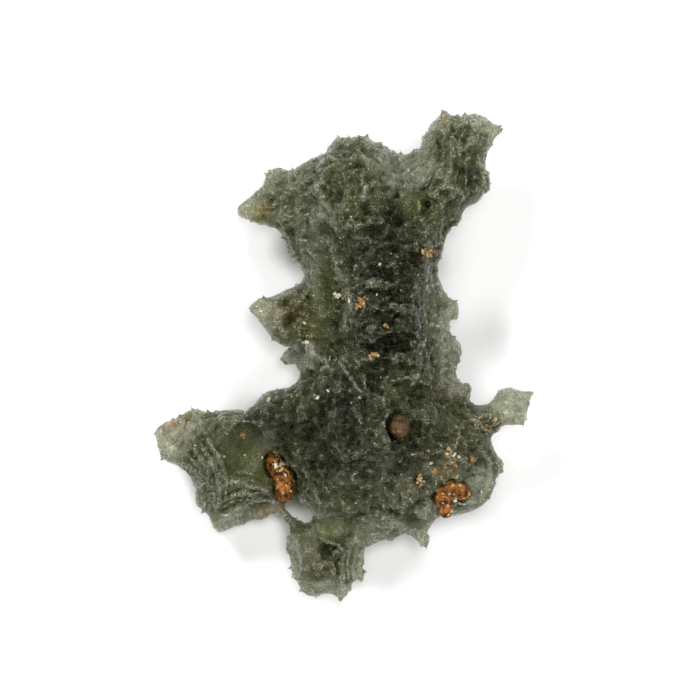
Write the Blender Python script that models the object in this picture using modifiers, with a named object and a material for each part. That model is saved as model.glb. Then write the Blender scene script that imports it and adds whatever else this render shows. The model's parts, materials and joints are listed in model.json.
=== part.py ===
"""A spiny, deeply etched moldavite lying on its back, with clay lodged in its pits.

The stone is worked in millimetres, looked down on with +Z towards the eye, and brought to metres at
the end. It is made of masses: each has an outline of sharp corners joined by hollow arcs, heights
given at a few stations, and thins towards its rim. The masses are fused, hollowed, etched all over
and worn flat where the stone rests.
"""
import math
from typing import NamedTuple

import bmesh
import bpy
import numpy as np
from mathutils import Matrix, Vector
from mathutils.bvhtree import BVHTree

MM = 0.001                 # one millimetre, in metres

# Driving dimensions, in millimetres
ARC_STEP = 0.35            # spacing of the points along an outline's arcs
BLANK_VOXEL = 0.26         # grain of a mass before it is shaped
STATION_BLEND = 0.5        # square of the distance over which a mass's stations run together
STONE_VOXEL = 0.17         # grain of the fused stone
BITE = 0.07                # usual depth of the hollow arc between two corners, as a share of its chord
LARGE_PIT = 2.3            # width of the large etched pits
LARGE_PIT_DEPTH = 1.5
SMALL_PIT = 1.05           # width of the small etched pits
SMALL_PIT_DEPTH = 0.65
PIT_LEVEL = 0.55           # share of a pit's depth that lies below the skin before it is etched
SIDE_RELIEF = 0.35         # share of the pits' depth that is kept where the skin stands upright
CLAY_GAP = 0.25            # clearance between the clay and the glass around it
CLAY_VOXEL = 0.13
CLAY_GRAIN = 0.5           # size of the lumps on the clay
CLAY_RELIEF = 0.12
CLAY_LEVEL = 0.6           # share of the clay's relief that lies below its skin
TABLE_SIZE = 60.0          # side of the block whose top is the surface that the stone rests on
GLASS_TRIANGLES = 9100
CLAY_TRIANGLES = 240

GREEN_GLASS = (0.10, 0.13, 0.07, 1.0)
ORANGE_CLAY = (0.42, 0.17, 0.05, 1.0)
RED_CLAY = (0.30, 0.10, 0.04, 1.0)


class Station(NamedTuple):
    """A place along a mass, with the height of its middle and half of its thickness there."""
    x: float
    y: float
    middle: float
    half: float


class Mass(NamedTuple):
    """One lobe of the stone.

    Each corner is (x, y), or (x, y, bite) where the arc to the next corner isn't of the usual depth:
    0 is a straight stretch, and a negative bite bulges out.
    """
    name: str
    corners: tuple
    stations: tuple
    slope: float           # distance from the rim over which the mass reaches its full thickness
    lip: float             # half thickness at the rim itself


class Ball(NamedTuple):
    """An ellipsoid: centre, half widths, and its turn about +Z in degrees."""
    x: float
    y: float
    z: float
    rx: float
    ry: float
    rz: float
    turn: float = 0.0


BASE = Mass(
    "base",
    ((-6.3, -3.65), (-5.4, -2.85), (-4.9, -2.45, 0), (-3.2, -2.0), (-2.8, -1.5, 0),
     (-1.0, 0.6, 0), (4.5, 0.6, 0), (5.9, -0.4), (6.9, -1.6), (8.55, -2.05, 0.15),
     (8.35, -3.1), (9.5, -5.1, 0.1), (9.7, -5.95), (10.4, -6.8, -0.05), (10.68, -7.65, 0.15),
     (10.2, -7.75), (10.0, -8.45), (9.42, -8.75, 0.12), (9.4, -9.25), (9.0, -9.85),
     (8.0, -10.2, 0.1), (7.3, -10.65), (6.4, -10.6, 0.1), (5.6, -11.5), (5.5, -12.68, 0),
     (5.2, -12.6, 0.05), (4.4, -11.75), (4.0, -11.4, 0.1), (3.1, -10.8, 0.05), (1.5, -10.5, 0),
     (0.0, -10.8, 0), (-1.2, -11.2, 0), (-1.85, -10.95, 0.1), (-2.2, -10.1), (-3.1, -9.3, 0),
     (-2.95, -8.6), (-3.45, -7.7), (-3.8, -6.5, 0), (-4.6, -5.2, 0), (-5.6, -4.4, 0)),
    (Station(1.6, -5.0, 5.3, 4.9), Station(7.2, -5.6, 4.5, 4.1), Station(9.4, -8.6, 4.3, 1.8),
     Station(-4.0, -4.2, 4.4, 3.3), Station(5.3, -11.6, 4.3, 1.3), Station(-1.2, -9.2, 4.2, 3.0),
     Station(3.0, -9.8, 4.6, 3.0), Station(8.0, -2.6, 5.0, 1.8)),
    2.4, 0.42)
COLUMN = Mass(
    "column",
    ((-0.6, 8.6, 0), (4.4, 9.2, 0), (6.9, 7.9, 0.05), (6.6, 7.1), (6.3, 6.05), (6.0, 5.4, 0),
     (5.95, 4.0), (5.4, 2.8, 0.12), (5.75, 2.2), (5.35, 1.15, 0.1), (5.85, -0.4, 0),
     (6.2, -2.4, 0), (0.6, -3.0, 0), (-0.3, -0.3), (0.1, 1.4, 0.05), (0.45, 3.1, 0),
     (-0.2, 5.2)),
    (Station(3.1, 3.0, 5.6, 4.5), Station(3.0, 7.2, 5.3, 4.0), Station(3.0, -1.8, 5.5, 4.7)),
    1.9, 0.8)
LEFT_FLANK = Mass(
    "left_flank",
    ((-4.0, 7.9, 0.05), (-3.55, 7.0), (-3.4, 6.5, 0.1), (-2.5, 5.5, 0.05), (-2.4, 4.8, 0.1),
     (-3.0, 3.2, 0), (-3.3, 1.0, 0), (-2.9, -0.4, 0), (-2.8, -1.5, 0), (-2.0, -3.2, 0),
     (1.8, -3.0, 0), (1.8, 8.6, 0), (-1.2, 9.4, 0)),
    (Station(-1.3, 3.0, 3.9, 2.6), Station(-1.2, 6.2, 3.9, 2.6), Station(-1.4, -1.2, 4.0, 2.9)),
    1.6, 0.55)
CENTRE_PEAK = Mass(
    "centre_peak",
    ((-1.5, 11.1), (-1.65, 12.3), (-1.1, 12.9), (-0.75, 13.35), (-0.3, 14.15, 0.12),
     (0.25, 14.25, 0.15), (0.95, 14.15, 0.1), (1.1, 14.4, 0.1), (1.72, 14.58, 0.15), (2.2, 13.7),
     (2.8, 13.55), (3.4, 13.05), (3.6, 12.2), (3.3, 10.8, 0), (3.7, 9.4, 0), (3.8, 7.0, 0),
     (-0.4, 7.0, 0), (-0.9, 7.8), (-1.5, 8.8, 0.1), (-1.3, 10.1)),
    (Station(1.1, 9.4, 4.8, 4.5), Station(1.1, 12.2, 4.8, 3.6), Station(1.0, 14.2, 5.0, 1.9)),
    1.5, 0.6)
SADDLE = Mass(
    "saddle",
    ((2.4, 13.4, 0), (3.4, 13.05, 0.1), (4.1, 12.98, 0.05), (5.2, 13.5, 0.1), (5.7, 14.9, 0.1),
     (6.5, 15.6, 0), (7.0, 13.0, 0), (5.8, 10.6, 0), (3.4, 10.2, 0), (2.4, 11.6, 0)),
    (Station(4.4, 12.4, 4.3, 1.6), Station(5.7, 14.4, 5.0, 1.3), Station(4.4, 11.0, 4.9, 2.6)),
    1.1, 0.38)
RIGHT_HORN = Mass(
    "right_horn",
    ((5.75, 15.0), (6.15, 15.3, 0.1), (6.35, 15.95), (6.55, 16.15, 0.1), (7.4, 15.6, 0.12),
     (8.0, 15.93, 0.15), (8.28, 15.52, 0.1), (8.65, 15.8, 0.1), (9.5, 15.2), (10.3, 15.05, 0.05),
     (10.55, 14.75, 0.1), (9.65, 13.7, 0.12), (9.2, 12.4, 0.1), (9.15, 11.9), (9.56, 10.7, 0.1),
     (8.75, 9.9, 0.1), (8.0, 9.45, 0.1), (7.3, 8.75), (6.85, 7.9, 0.05), (6.3, 6.6, 0),
     (4.0, 6.8, 0), (3.6, 9.0, 0), (4.6, 10.8, 0), (5.6, 12.2, 0.1)),
    (Station(5.6, 8.6, 5.2, 3.9), Station(7.2, 10.6, 5.3, 3.5), Station(7.5, 13.2, 5.4, 3.2),
     Station(9.5, 14.9, 5.7, 1.4), Station(6.4, 15.6, 5.8, 1.5), Station(9.0, 10.7, 5.0, 2.0)),
    1.6, 0.4)
LEFT_EAR = Mass(
    "left_ear",
    ((-6.95, 9.6, 0.05), (-6.1, 10.2, 0.1), (-5.7, 10.75), (-4.95, 11.25, 0.1), (-4.95, 12.1, 0),
     (-4.5, 12.25, 0.05), (-3.6, 12.1, 0.08), (-2.3, 12.8), (-1.3, 13.15, 0.1), (-1.1, 12.8, 0),
     (0.6, 12.6, 0), (1.4, 9.0, 0), (0.6, 5.2, 0), (-2.3, 5.0, 0), (-2.55, 5.6, 0.05),
     (-3.45, 6.55), (-3.6, 7.3), (-4.1, 8.0, 0.05), (-4.7, 8.4), (-5.5, 8.7),
     (-6.6, 9.1, 0)),
    (Station(-3.2, 10.4, 3.5, 2.0), Station(-6.4, 9.6, 3.4, 0.8), Station(-0.8, 10.5, 3.8, 2.6),
     Station(-2.2, 7.4, 3.8, 2.4), Station(-4.4, 12.0, 3.3, 0.8)),
    1.5, 0.34)
LEFT_SPIKE = Mass(
    "left_spike",
    ((-6.25, 3.1, 0.05), (-5.45, 3.65, 0.05), (-4.6, 3.8, 0.05), (-3.6, 4.15, 0.05),
     (-2.5, 4.65, 0), (-0.8, 4.6, 0), (-0.8, 0.0, 0), (-2.6, 0.2, 0), (-3.95, 0.35, 0.05),
     (-4.7, 1.0, 0.1), (-5.1, 2.1, 0.1), (-5.8, 2.8, 0.05)),
    (Station(-2.4, 2.4, 4.4, 2.2), Station(-4.4, 2.6, 4.8, 1.5), Station(-6.1, 3.1, 5.2, 0.5)),
    1.3, 0.3)
LOWER_LOBE = Mass(
    "lower_lobe",
    ((-4.25, -0.25, 0.12), (-3.9, 0.3, 0), (-2.2, 0.8, 0), (-0.8, 0.0, 0), (-1.4, -2.2, 0),
     (-2.75, -1.6, 0), (-3.0, -1.0), (-3.75, -0.62, 0.05)),
    (Station(-2.2, -0.6, 3.4, 1.5), Station(-4.0, -0.2, 3.2, 0.45)),
    0.9, 0.28)
RIGHT_SHELF = Mass(
    "right_shelf",
    ((5.2, 6.2, 0), (6.05, 5.45, 0.1), (6.4, 4.35), (6.6, 3.95, 0), (7.1, 3.6),
     (7.6, 3.3, 0.05), (7.6, 2.8, 0), (7.4, 2.35, 0.05), (6.85, 2.1, 0.15), (7.0, 1.4),
     (7.78, 0.9, 0.1), (7.72, 0.2, 0.08), (7.6, -0.9, 0.1), (7.4, -1.2, 0.1), (8.15, -1.8, 0.1),
     (8.55, -2.1, 0), (7.0, -3.4, 0), (4.0, -2.0, 0), (4.0, 5.2, 0)),
    (Station(5.4, 2.0, 3.3, 1.7), Station(7.2, 3.0, 3.0, 0.5), Station(7.4, 0.4, 3.1, 0.55),
     Station(7.6, -1.8, 3.6, 0.9)),
    1.2, 0.24)
TAIL = Mass(
    "tail",
    ((7.4, -2.9, 0), (8.55, -3.3, 0.05), (9.35, -3.35, 0.08), (10.05, -2.45, 0.1),
     (10.35, -2.08, 0.05), (11.1, -2.12, 0.05), (11.6, -2.3, 0.05), (12.58, -2.28, 0.1),
     (12.2, -3.2, 0.04), (11.9, -4.3, 0), (11.7, -4.5, 0.06), (10.7, -4.3, 0.06),
     (9.7, -5.0, 0.05), (9.45, -5.6, 0), (7.0, -5.6, 0)),
    (Station(8.2, -4.3, 4.8, 1.9), Station(9.9, -3.9, 4.7, 1.1), Station(11.8, -3.2, 4.8, 1.05)),
    0.7, 0.42)
LEFT_FOOT = Mass(
    "left_foot",
    ((-6.3, -3.65, 0.05), (-7.0, -3.6, 0.05), (-7.8, -3.75, 0.12), (-8.85, -3.95),
     (-9.58, -3.48), (-10.3, -3.8), (-11.4, -4.25), (-12.0, -4.42, 0.05),
     (-12.48, -5.15, 0.1), (-11.95, -6.1), (-11.85, -6.75, 0.08), (-10.9, -7.0, 0.05),
     (-9.8, -7.8, 0.12), (-9.4, -8.95), (-9.7, -9.6, 0.1), (-8.65, -10.45, 0.1),
     (-8.6, -11.25, 0.05), (-8.2, -11.65, 0), (-7.8, -10.95, 0.1), (-6.0, -9.6, 0.05),
     (-4.9, -9.55, 0.05), (-4.2, -9.8, 0), (-3.9, -9.5, 0.05),
     (-4.4, -8.8, 0.05), (-4.7, -7.8, 0), (-4.8, -6.4, 0), (-3.6, -5.4, 0), (-4.2, -3.4, 0)),
    (Station(-7.4, -6.2, 3.2, 3.1), Station(-9.4, -6.6, 3.1, 2.3), Station(-11.4, -5.2, 3.3, 0.75),
     Station(-8.5, -10.2, 2.8, 1.3), Station(-5.6, -8.9, 2.9, 2.3), Station(-5.2, -4.6, 4.0, 3.2),
     Station(-5.3, -7.6, 3.0, 2.5)),
    1.5, 0.3)
LEFT_FLANGE = Mass(
    "left_flange",
    ((-8.4, -10.6, 0), (-8.6, -11.25, 0.05), (-8.2, -11.65, 0.05), (-7.2, -11.2, 0.06),
     (-6.3, -10.95), (-5.0, -10.68, 0.1), (-4.85, -10.3, 0.05), (-4.25, -10.05, 0),
     (-3.9, -9.2, 0), (-5.4, -8.6, 0), (-7.4, -9.2, 0)),
    (Station(-6.2, -10.2, 2.2, 0.55), Station(-7.8, -11.0, 2.3, 0.6)),
    0.5, 0.28)
GROOVE_FLOOR = Mass(
    "groove_floor",
    ((-5.6, -4.4, 0), (-2.8, -4.4, 0), (-2.4, -8.2, 0), (-2.75, -9.25, 0), (-3.35, -9.5, 0),
     (-4.1, -9.7, 0), (-5.4, -9.2, 0)),
    (Station(-4.1, -5.6, 3.2, 2.0), Station(-3.9, -8.6, 2.6, 1.3)),
    0.7, 0.5)
WEB = Mass(
    "web",
    ((-1.9, -10.2, 0), (-1.8, -10.95, 0.05), (-0.8, -11.9, 0), (0.6, -12.6, 0), (1.45, -12.55, 0.1),
     (1.75, -12.3, 0.1), (2.7, -12.1, 0.08), (3.0, -12.28, 0.05), (3.8, -11.85, 0.08),
     (4.2, -11.4, 0), (4.6, -9.6, 0), (0.0, -9.4, 0)),
    (Station(2.4, -11.6, 3.6, 0.6), Station(0.2, -11.4, 3.5, 0.9), Station(2.4, -10.0, 4.0, 1.6)),
    0.9, 0.3)
BOTTOM_FOOT = Mass(
    "bottom_foot",
    ((-3.2, -10.75, 0.05), (-2.3, -10.85, 0.1), (-1.6, -10.9, 0), (0.2, -10.7, 0), (0.9, -11.6, 0),
     (0.45, -12.5, 0.05), (0.05, -13.4, 0.03), (0.0, -14.9, 0.05), (-0.5, -15.5, 0.05),
     (-1.6, -15.3, 0.08), (-2.7, -15.1, 0.05), (-2.75, -14.2, 0.05), (-3.05, -13.3, 0.03),
     (-3.62, -12.2, 0), (-3.5, -11.6, 0.05)),
    (Station(-1.2, -13.4, 2.5, 2.4), Station(-1.2, -14.9, 2.6, 1.9), Station(-2.9, -12.4, 2.7, 1.8),
     Station(-1.2, -11.4, 3.0, 2.0)),
    1.0, 0.6)
BOTTOM_FLANGE = Mass(
    "bottom_flange",
    ((-3.6, -11.8, 0), (-1.6, -11.6, 0), (0.6, -11.4, 0), (1.3, -12.0, 0),
     (1.5, -13.15, 0.15), (1.1, -13.45, 0.08), (1.4, -14.05, 0.1), (1.42, -14.7, 0.1),
     (0.8, -14.8, 0.1), (0.72, -15.4, 0.05), (0.35, -15.9, 0.05), (-0.12, -16.2, 0.08),
     (-1.0, -15.7, 0.05), (-1.9, -15.88, 0.06), (-2.85, -15.45, 0.15), (-2.9, -14.85, 0.05),
     (-3.45, -14.6, 0.05), (-3.45, -13.8), (-3.68, -12.6, 0.05)),
    (Station(-1.0, -13.6, 2.6, 0.9), Station(0.9, -13.8, 2.9, 0.8), Station(-3.2, -13.8, 2.7, 0.8)),
    0.6, 0.42)
MASSES = (BASE, COLUMN, LEFT_FLANK, CENTRE_PEAK, SADDLE, RIGHT_HORN, LEFT_EAR, LEFT_SPIKE, LOWER_LOBE,
          RIGHT_SHELF, TAIL, LEFT_FOOT, LEFT_FLANGE, GROOVE_FLOOR, WEB, BOTTOM_FOOT, BOTTOM_FLANGE)

# The slim strut that closes the leaf-shaped hole, from the left foot to the bottom foot
STRUT_ROUTE = ((-4.4, -9.5, 2.7), (-4.0, -10.1, 2.6), (-3.55, -10.75, 2.6), (-3.0, -11.4, 2.8))
STRUT_RADIUS = 0.42

# Knobs on the underside, which reach below the table before they are worn flat
FEET = (Ball(-7.6, -7.0, 1.6, 2.6, 2.0, 1.8), Ball(7.0, -6.8, 1.6, 2.8, 2.0, 1.8, 25),
        Ball(2.2, 10.4, 1.6, 2.1, 2.6, 1.8, 15), Ball(-0.9, -13.7, 1.35, 1.5, 1.8, 1.5),
        Ball(2.4, 1.2, 2.0, 1.9, 2.2, 1.8), Ball(-2.6, 9.4, 2.1, 1.4, 1.4, 1.6))
# Lumps on the upper side
BULB = Ball(4.3, 9.8, 7.9, 0.95, 0.95, 1.1)
LUMPS = (BULB, Ball(-1.2, 11.1, 6.4, 0.6, 0.7, 1.2), Ball(-1.1, 8.8, 6.6, 0.6, 0.7, 1.2),
         Ball(1.6, 6.2, 8.2, 1.3, 0.9, 1.3), Ball(-2.0, -3.9, 6.4, 1.9, 1.4, 1.9, 30),
         Ball(5.4, -4.4, 7.2, 2.2, 1.4, 1.9, -20), Ball(1.0, -7.6, 6.9, 2.6, 1.5, 2.0),
         Ball(-7.0, -4.3, 5.7, 1.1, 0.6, 0.9))

# Hollows: on the upper side, then on the underside
BOWL = Ball(-6.7, -6.6, 8.2, 1.9, 2.6, 3.6, -14)
HOLLOWS = (
    BOWL,
    Ball(-9.7, -5.3, 6.4, 1.1, 0.8, 1.5, 12), Ball(-8.7, -9.0, 5.6, 0.7, 1.3, 1.5, -20),
    Ball(4.7, 13.0, 8.0, 1.5, 2.1, 2.9, -25), Ball(4.4, 11.4, 7.7, 0.55, 0.5, 1.0),
    Ball(3.25, 9.0, 9.3, 0.45, 0.8, 1.3), Ball(5.55, 9.6, 9.3, 0.45, 0.8, 1.4),
    Ball(7.6, 12.1, 10.1, 1.0, 1.5, 1.9, 10), Ball(8.1, 14.4, 9.2, 1.1, 0.9, 1.7),
    Ball(-3.4, 10.0, 6.7, 1.3, 1.1, 1.5, 35), Ball(-4.9, 9.4, 6.3, 1.0, 0.8, 1.6, 30),
    Ball(-1.6, 7.3, 7.6, 0.8, 1.3, 1.6), Ball(-1.2, 4.0, 7.5, 0.7, 1.6, 1.5),
    Ball(-1.4, 0.6, 7.7, 0.9, 1.4, 1.5), Ball(-3.7, 2.2, 7.2, 1.0, 0.8, 1.4),
    Ball(-1.0, -12.8, 5.7, 0.85, 0.7, 1.9), Ball(0.8, -13.6, 5.0, 0.5, 1.0, 1.8),
    Ball(2.3, -11.6, 5.2, 1.3, 0.6, 1.2), Ball(7.4, -2.9, 8.0, 1.0, 0.7, 1.7, 20),
    Ball(0.9, -2.2, 10.9, 0.6, 1.5, 1.3, -32), Ball(3.4, -3.3, 10.9, 1.1, 0.7, 1.1),
    Ball(-2.2, -6.4, 9.6, 1.3, 1.6, 1.9, 20), Ball(9.0, -6.9, 8.2, 0.9, 1.2, 1.7),
    Ball(11.3, -3.2, 7.3, 0.9, 0.7, 1.7), Ball(5.6, -9.9, 8.0, 0.9, 0.8, 1.3),
    Ball(1.6, -4.6, -0.9, 3.2, 2.6, 2.4), Ball(-4.4, -4.6, -0.2, 2.0, 1.4, 1.7, 25),
    Ball(4.2, 4.9, -0.2, 1.9, 2.3, 2.2), Ball(0.2, -8.9, 0.0, 2.0, 1.3, 1.9),
    Ball(-1.6, 3.2, 0.5, 1.5, 2.2, 1.7), Ball(6.9, -3.4, 0.3, 1.9, 1.4, 1.8),
    Ball(5.2, 9.0, 0.3, 1.3, 1.6, 1.7), Ball(7.5, 12.6, 1.2, 1.2, 1.5, 1.4),
    Ball(-0.6, 7.0, 0.4, 1.5, 1.4, 1.6), Ball(-4.2, 10.6, 0.9, 1.5, 1.1, 1.5, 30),
    Ball(9.2, -8.6, 2.0, 1.3, 1.0, 1.4), Ball(4.0, -9.6, 0.6, 1.7, 1.1, 1.8),
    Ball(-10.4, -5.4, 0.6, 1.4, 0.9, 1.4),
    Ball(0.6, 13.3, 1.3, 1.3, 1.0, 1.6), Ball(-2.3, -12.2, 0.2, 1.0, 0.9, 1.4))

# The column's level ripples: hollows one above another, from its top to the base
RIPPLES = 6
RIPPLE_TOP = 7.0
RIPPLE_PITCH = 1.6
RIPPLE = Ball(3.1, 0.0, 10.3, 2.7, 0.62, 1.0)
# The flutes of the left foot: hollows fanned about the bowl's lower end
FLUTES = 5
FLUTE_CENTRE = (-6.2, -5.6)
FLUTE_REACH = 3.9
FLUTE_FIRST = 196.0
FLUTE_TURN = 13.0
FLUTE = Ball(0.0, 0.0, 6.1, 1.3, 0.36, 1.7)

# The clay, as lumps whose z is their height above the glass around them
GROOVE_CLAY = (Ball(-4.5, -6.95, 0.1, 0.42, 0.62, 0.55), Ball(-4.1, -7.6, 0.0, 0.5, 0.6, 0.5, 30),
               Ball(-3.75, -8.15, 0.1, 0.42, 0.75, 0.6, 25), Ball(-3.85, -8.8, 0.15, 0.5, 0.7, 0.6, 12))
PIT_CLAY = (Ball(7.05, -8.6, 0.0, 0.95, 0.4, 0.45, -8), Ball(6.5, -9.1, 0.0, 0.42, 0.75, 0.5),
            Ball(6.65, -9.85, -0.1, 0.34, 0.62, 0.42, 8), Ball(7.75, -8.9, -0.1, 0.42, 0.4, 0.4))
CENTRE_CLAY = (Ball(3.65, -4.6, 0.0, 0.62, 0.72, 0.5),)
# Each piece of clay: its lumps, how deep it sits and its colour
CLAY = {"clay_left_groove": (GROOVE_CLAY, 0.35, ORANGE_CLAY),
        "clay_right_pit": (PIT_CLAY, 0.35, ORANGE_CLAY),
        "clay_centre_pit": (CENTRE_CLAY, 0.45, RED_CLAY)}
MOUTH_RISE = 0.8           # how far each pocket is carried upwards, so that it opens to the air


def start():
    """Empty the scene and make the two collections."""
    for item in list(bpy.data.objects):
        bpy.data.objects.remove(item, do_unlink=True)
    groups = []
    for name in ("moldavite", "moldavite_cutters"):
        group = bpy.data.collections.new(name)
        bpy.context.scene.collection.children.link(group)
        groups.append(group)
    return groups


def put(name, mesh, group):
    """A new object of this mesh in a collection."""
    item = bpy.data.objects.new(name, mesh)
    group.objects.link(item)
    return item


def bake(item):
    """Replace an object by the mesh that its modifiers or its curve give, and return that mesh."""
    bpy.context.view_layer.update()
    seen = item.evaluated_get(bpy.context.evaluated_depsgraph_get())
    mesh = bpy.data.meshes.new_from_object(seen)
    mesh.transform(item.matrix_world)
    bpy.data.objects.remove(item, do_unlink=True)
    return mesh


def remesh(mesh, voxel, group):
    """The mesh rebuilt as one closed skin of even grain."""
    item = put("blank", mesh, group)
    skin = item.modifiers.new("skin", "REMESH")
    skin.mode = "VOXEL"
    skin.voxel_size = voxel
    return bake(item)


def outline(corners):
    """Points round an outline, with the hollow arc from each corner to the next drawn out."""
    points = []
    for corner, following in zip(corners, corners[1:] + corners[:1]):
        bite = corner[2] if len(corner) > 2 else BITE
        begin = Vector(corner[:2])
        chord = Vector(following[:2]) - begin
        inward = Vector((chord.y, -chord.x))
        steps = max(1, round(chord.length / ARC_STEP)) if bite else 1
        for step in range(steps):
            share = step / steps
            points.append(begin + chord * share + inward * (4 * bite * share * (1 - share)))
    return points


def rim_distance(places, points):
    """Distance of each place (n, 2) from the closed line through the points."""
    ends = np.array([tuple(point) for point in points])
    nearest = np.full(len(places), np.inf)
    for a, b in zip(ends, np.roll(ends, -1, axis=0)):
        along = b - a
        share = np.clip((places - a) @ along / (along @ along), 0.0, 1.0)
        gap = np.linalg.norm(places - a - share[:, None] * along, axis=1)
        nearest = np.minimum(nearest, gap)
    return nearest


def read_points(mesh):
    """The mesh's points as an array."""
    flat = np.empty(len(mesh.vertices) * 3)
    mesh.vertices.foreach_get("co", flat)
    return flat.reshape(-1, 3)


def write_points(mesh, places):
    """Move the mesh's points to these places."""
    mesh.vertices.foreach_set("co", places.ravel())
    mesh.update()


def make_mass(mass, group):
    """One lobe: its outline as a slab two units thick, drawn to its heights and thinned to its rim."""
    points = outline(mass.corners)
    curve = bpy.data.curves.new(mass.name, "CURVE")
    curve.dimensions = "2D"
    curve.fill_mode = "BOTH"
    curve.extrude = 1.0
    line = curve.splines.new("POLY")
    line.points.add(len(points) - 1)
    for spot, point in zip(line.points, points):
        spot.co = (point.x, point.y, 0.0, 1.0)
    line.use_cyclic_u = True
    slab = remesh(bake(put(mass.name, curve, group)), BLANK_VOXEL, group)
    places = read_points(slab)
    weights = np.zeros(len(places))
    middle = np.zeros(len(places))
    half = np.zeros(len(places))
    for station in mass.stations:
        away = (places[:, 0] - station.x) ** 2 + (places[:, 1] - station.y) ** 2
        weight = 1.0 / (away + STATION_BLEND) ** 2
        weights += weight
        middle += weight * station.middle
        half += weight * station.half
    middle /= weights
    half /= weights
    inward = np.clip(rim_distance(places[:, :2], points) / mass.slope, 0.0, 1.0)
    swell = np.sqrt(1.0 - (1.0 - inward) ** 2)
    thick = mass.lip + np.maximum(half - mass.lip, 0.0) * swell
    places[:, 2] = middle + np.clip(places[:, 2], -1.0, 1.0) * thick
    write_points(slab, places)
    return slab


def make_strut(group):
    """The strut, as a round bar with filled ends."""
    curve = bpy.data.curves.new("strut", "CURVE")
    curve.dimensions = "3D"
    curve.bevel_depth = STRUT_RADIUS
    curve.bevel_resolution = 2
    curve.use_fill_caps = True
    line = curve.splines.new("POLY")
    line.points.add(len(STRUT_ROUTE) - 1)
    for spot, place in zip(line.points, STRUT_ROUTE):
        spot.co = (*place, 1.0)
    return bake(put("strut", curve, group))


def ball_mesh(ball, grow=0.0, fineness=3):
    """An ellipsoid as a mesh, its half widths grown by this much."""
    made = bmesh.new()
    bmesh.ops.create_icosphere(made, subdivisions=fineness, radius=1.0)
    size = Matrix.Diagonal((ball.rx + grow, ball.ry + grow, ball.rz + grow, 1.0))
    place = Matrix.Translation((ball.x, ball.y, ball.z))
    made.transform(place @ Matrix.Rotation(math.radians(ball.turn), 4, "Z") @ size)
    mesh = bpy.data.meshes.new("ball")
    made.to_mesh(mesh)
    made.free()
    return mesh


def join(meshes):
    """Several meshes as one."""
    whole = bmesh.new()
    for mesh in meshes:
        whole.from_mesh(mesh)
    joined = bpy.data.meshes.new("joined")
    whole.to_mesh(joined)
    whole.free()
    return joined


def ripple_hollows():
    """The hollows between the column's ripples, each a little off its neighbours."""
    hollows = []
    for level in range(RIPPLES):
        y = RIPPLE_TOP - level * RIPPLE_PITCH
        side = 0.25 * math.sin(2.4 * level)
        hollows.append(RIPPLE._replace(x=RIPPLE.x + side, y=y, turn=5.0 * math.sin(1.7 * level + 0.6)))
    return hollows


def flute_hollows():
    """The flutes that fan out from the lower end of the left foot's bowl."""
    hollows = []
    for number in range(FLUTES):
        degrees = FLUTE_FIRST + number * FLUTE_TURN
        way = math.radians(degrees)
        x = FLUTE_CENTRE[0] + FLUTE_REACH * math.cos(way)
        y = FLUTE_CENTRE[1] + FLUTE_REACH * math.sin(way)
        hollows.append(FLUTE._replace(x=x, y=y, turn=degrees))
    return hollows


def cut(mesh, cutter_mesh, name, group, cutters):
    """The mesh less the cutter, which stays in its own collection."""
    item = put("blank", mesh, group)
    cutter = put(name, cutter_mesh, cutters)
    cutter.display_type = "WIRE"
    cutter.hide_render = True
    less = item.modifiers.new("less", "BOOLEAN")
    less.operation = "DIFFERENCE"
    less.object = cutter
    return bake(item)


def etch(mesh, width, depth, group):
    """Etch the skin with round pits of this width, which meet in sharp crests, least on upright skin."""
    cells = bpy.data.textures.new("pits", "VORONOI")
    cells.noise_scale = width
    item = put("blank", mesh, group)
    facing = item.vertex_groups.new(name="facing")
    for point in mesh.vertices:
        facing.add([point.index], SIDE_RELIEF + (1.0 - SIDE_RELIEF) * point.normal.z ** 2, "REPLACE")
    pits = item.modifiers.new("pits", "DISPLACE")
    pits.texture = cells
    pits.texture_coords = "LOCAL"
    pits.vertex_group = facing.name
    pits.strength = depth
    pits.mid_level = PIT_LEVEL
    return bake(item)


def thin(mesh, triangles, group):
    """The mesh brought down to this many triangles, fewest where it is smooth."""
    item = put("blank", mesh, group)
    faceted = item.modifiers.new("faceted", "TRIANGULATE")
    faceted.quad_method = "SHORTEST_DIAGONAL"
    full = bake(item)
    if len(full.polygons) <= triangles:
        return full
    item = put("blank", full, group)
    fewer = item.modifiers.new("fewer", "DECIMATE")
    fewer.ratio = triangles / len(full.polygons)
    fewer.use_collapse_triangulate = True
    return bake(item)


def wear_flat(mesh, group, cutters):
    """Cut the mesh level with the table, which leaves the flat patches that it rests on."""
    made = bmesh.new()
    bmesh.ops.create_cube(made, size=TABLE_SIZE)
    bmesh.ops.translate(made, verts=made.verts, vec=(0, 0, -TABLE_SIZE / 2))
    block = bpy.data.meshes.new("block")
    made.to_mesh(block)
    made.free()
    return cut(mesh, block, "table", group, cutters)


def skin_height(mesh, x, y):
    """Height of the upper skin at this place."""
    skin = bmesh.new()
    skin.from_mesh(mesh)
    tree = BVHTree.FromBMesh(skin)
    skin.free()
    return tree.ray_cast(Vector((x, y, 100.0)), Vector((0.0, 0.0, -1.0)))[0].z


def seat(lumps, sink, stone):
    """The clay's lumps set into the skin at one level, sunk by this much below their middle's place."""
    level = sum(skin_height(stone, lump.x, lump.y) for lump in lumps) / len(lumps)
    return [lump._replace(z=level - sink + lump.z) for lump in lumps]


def pocket_mesh(lumps, group):
    """The hollow that holds these lumps with their clearance, and its mouth above them."""
    mouth = [lump._replace(z=lump.z + MOUTH_RISE) for lump in lumps]
    return remesh(join([ball_mesh(lump, grow=CLAY_GAP) for lump in lumps + mouth]), CLAY_VOXEL, group)


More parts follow.
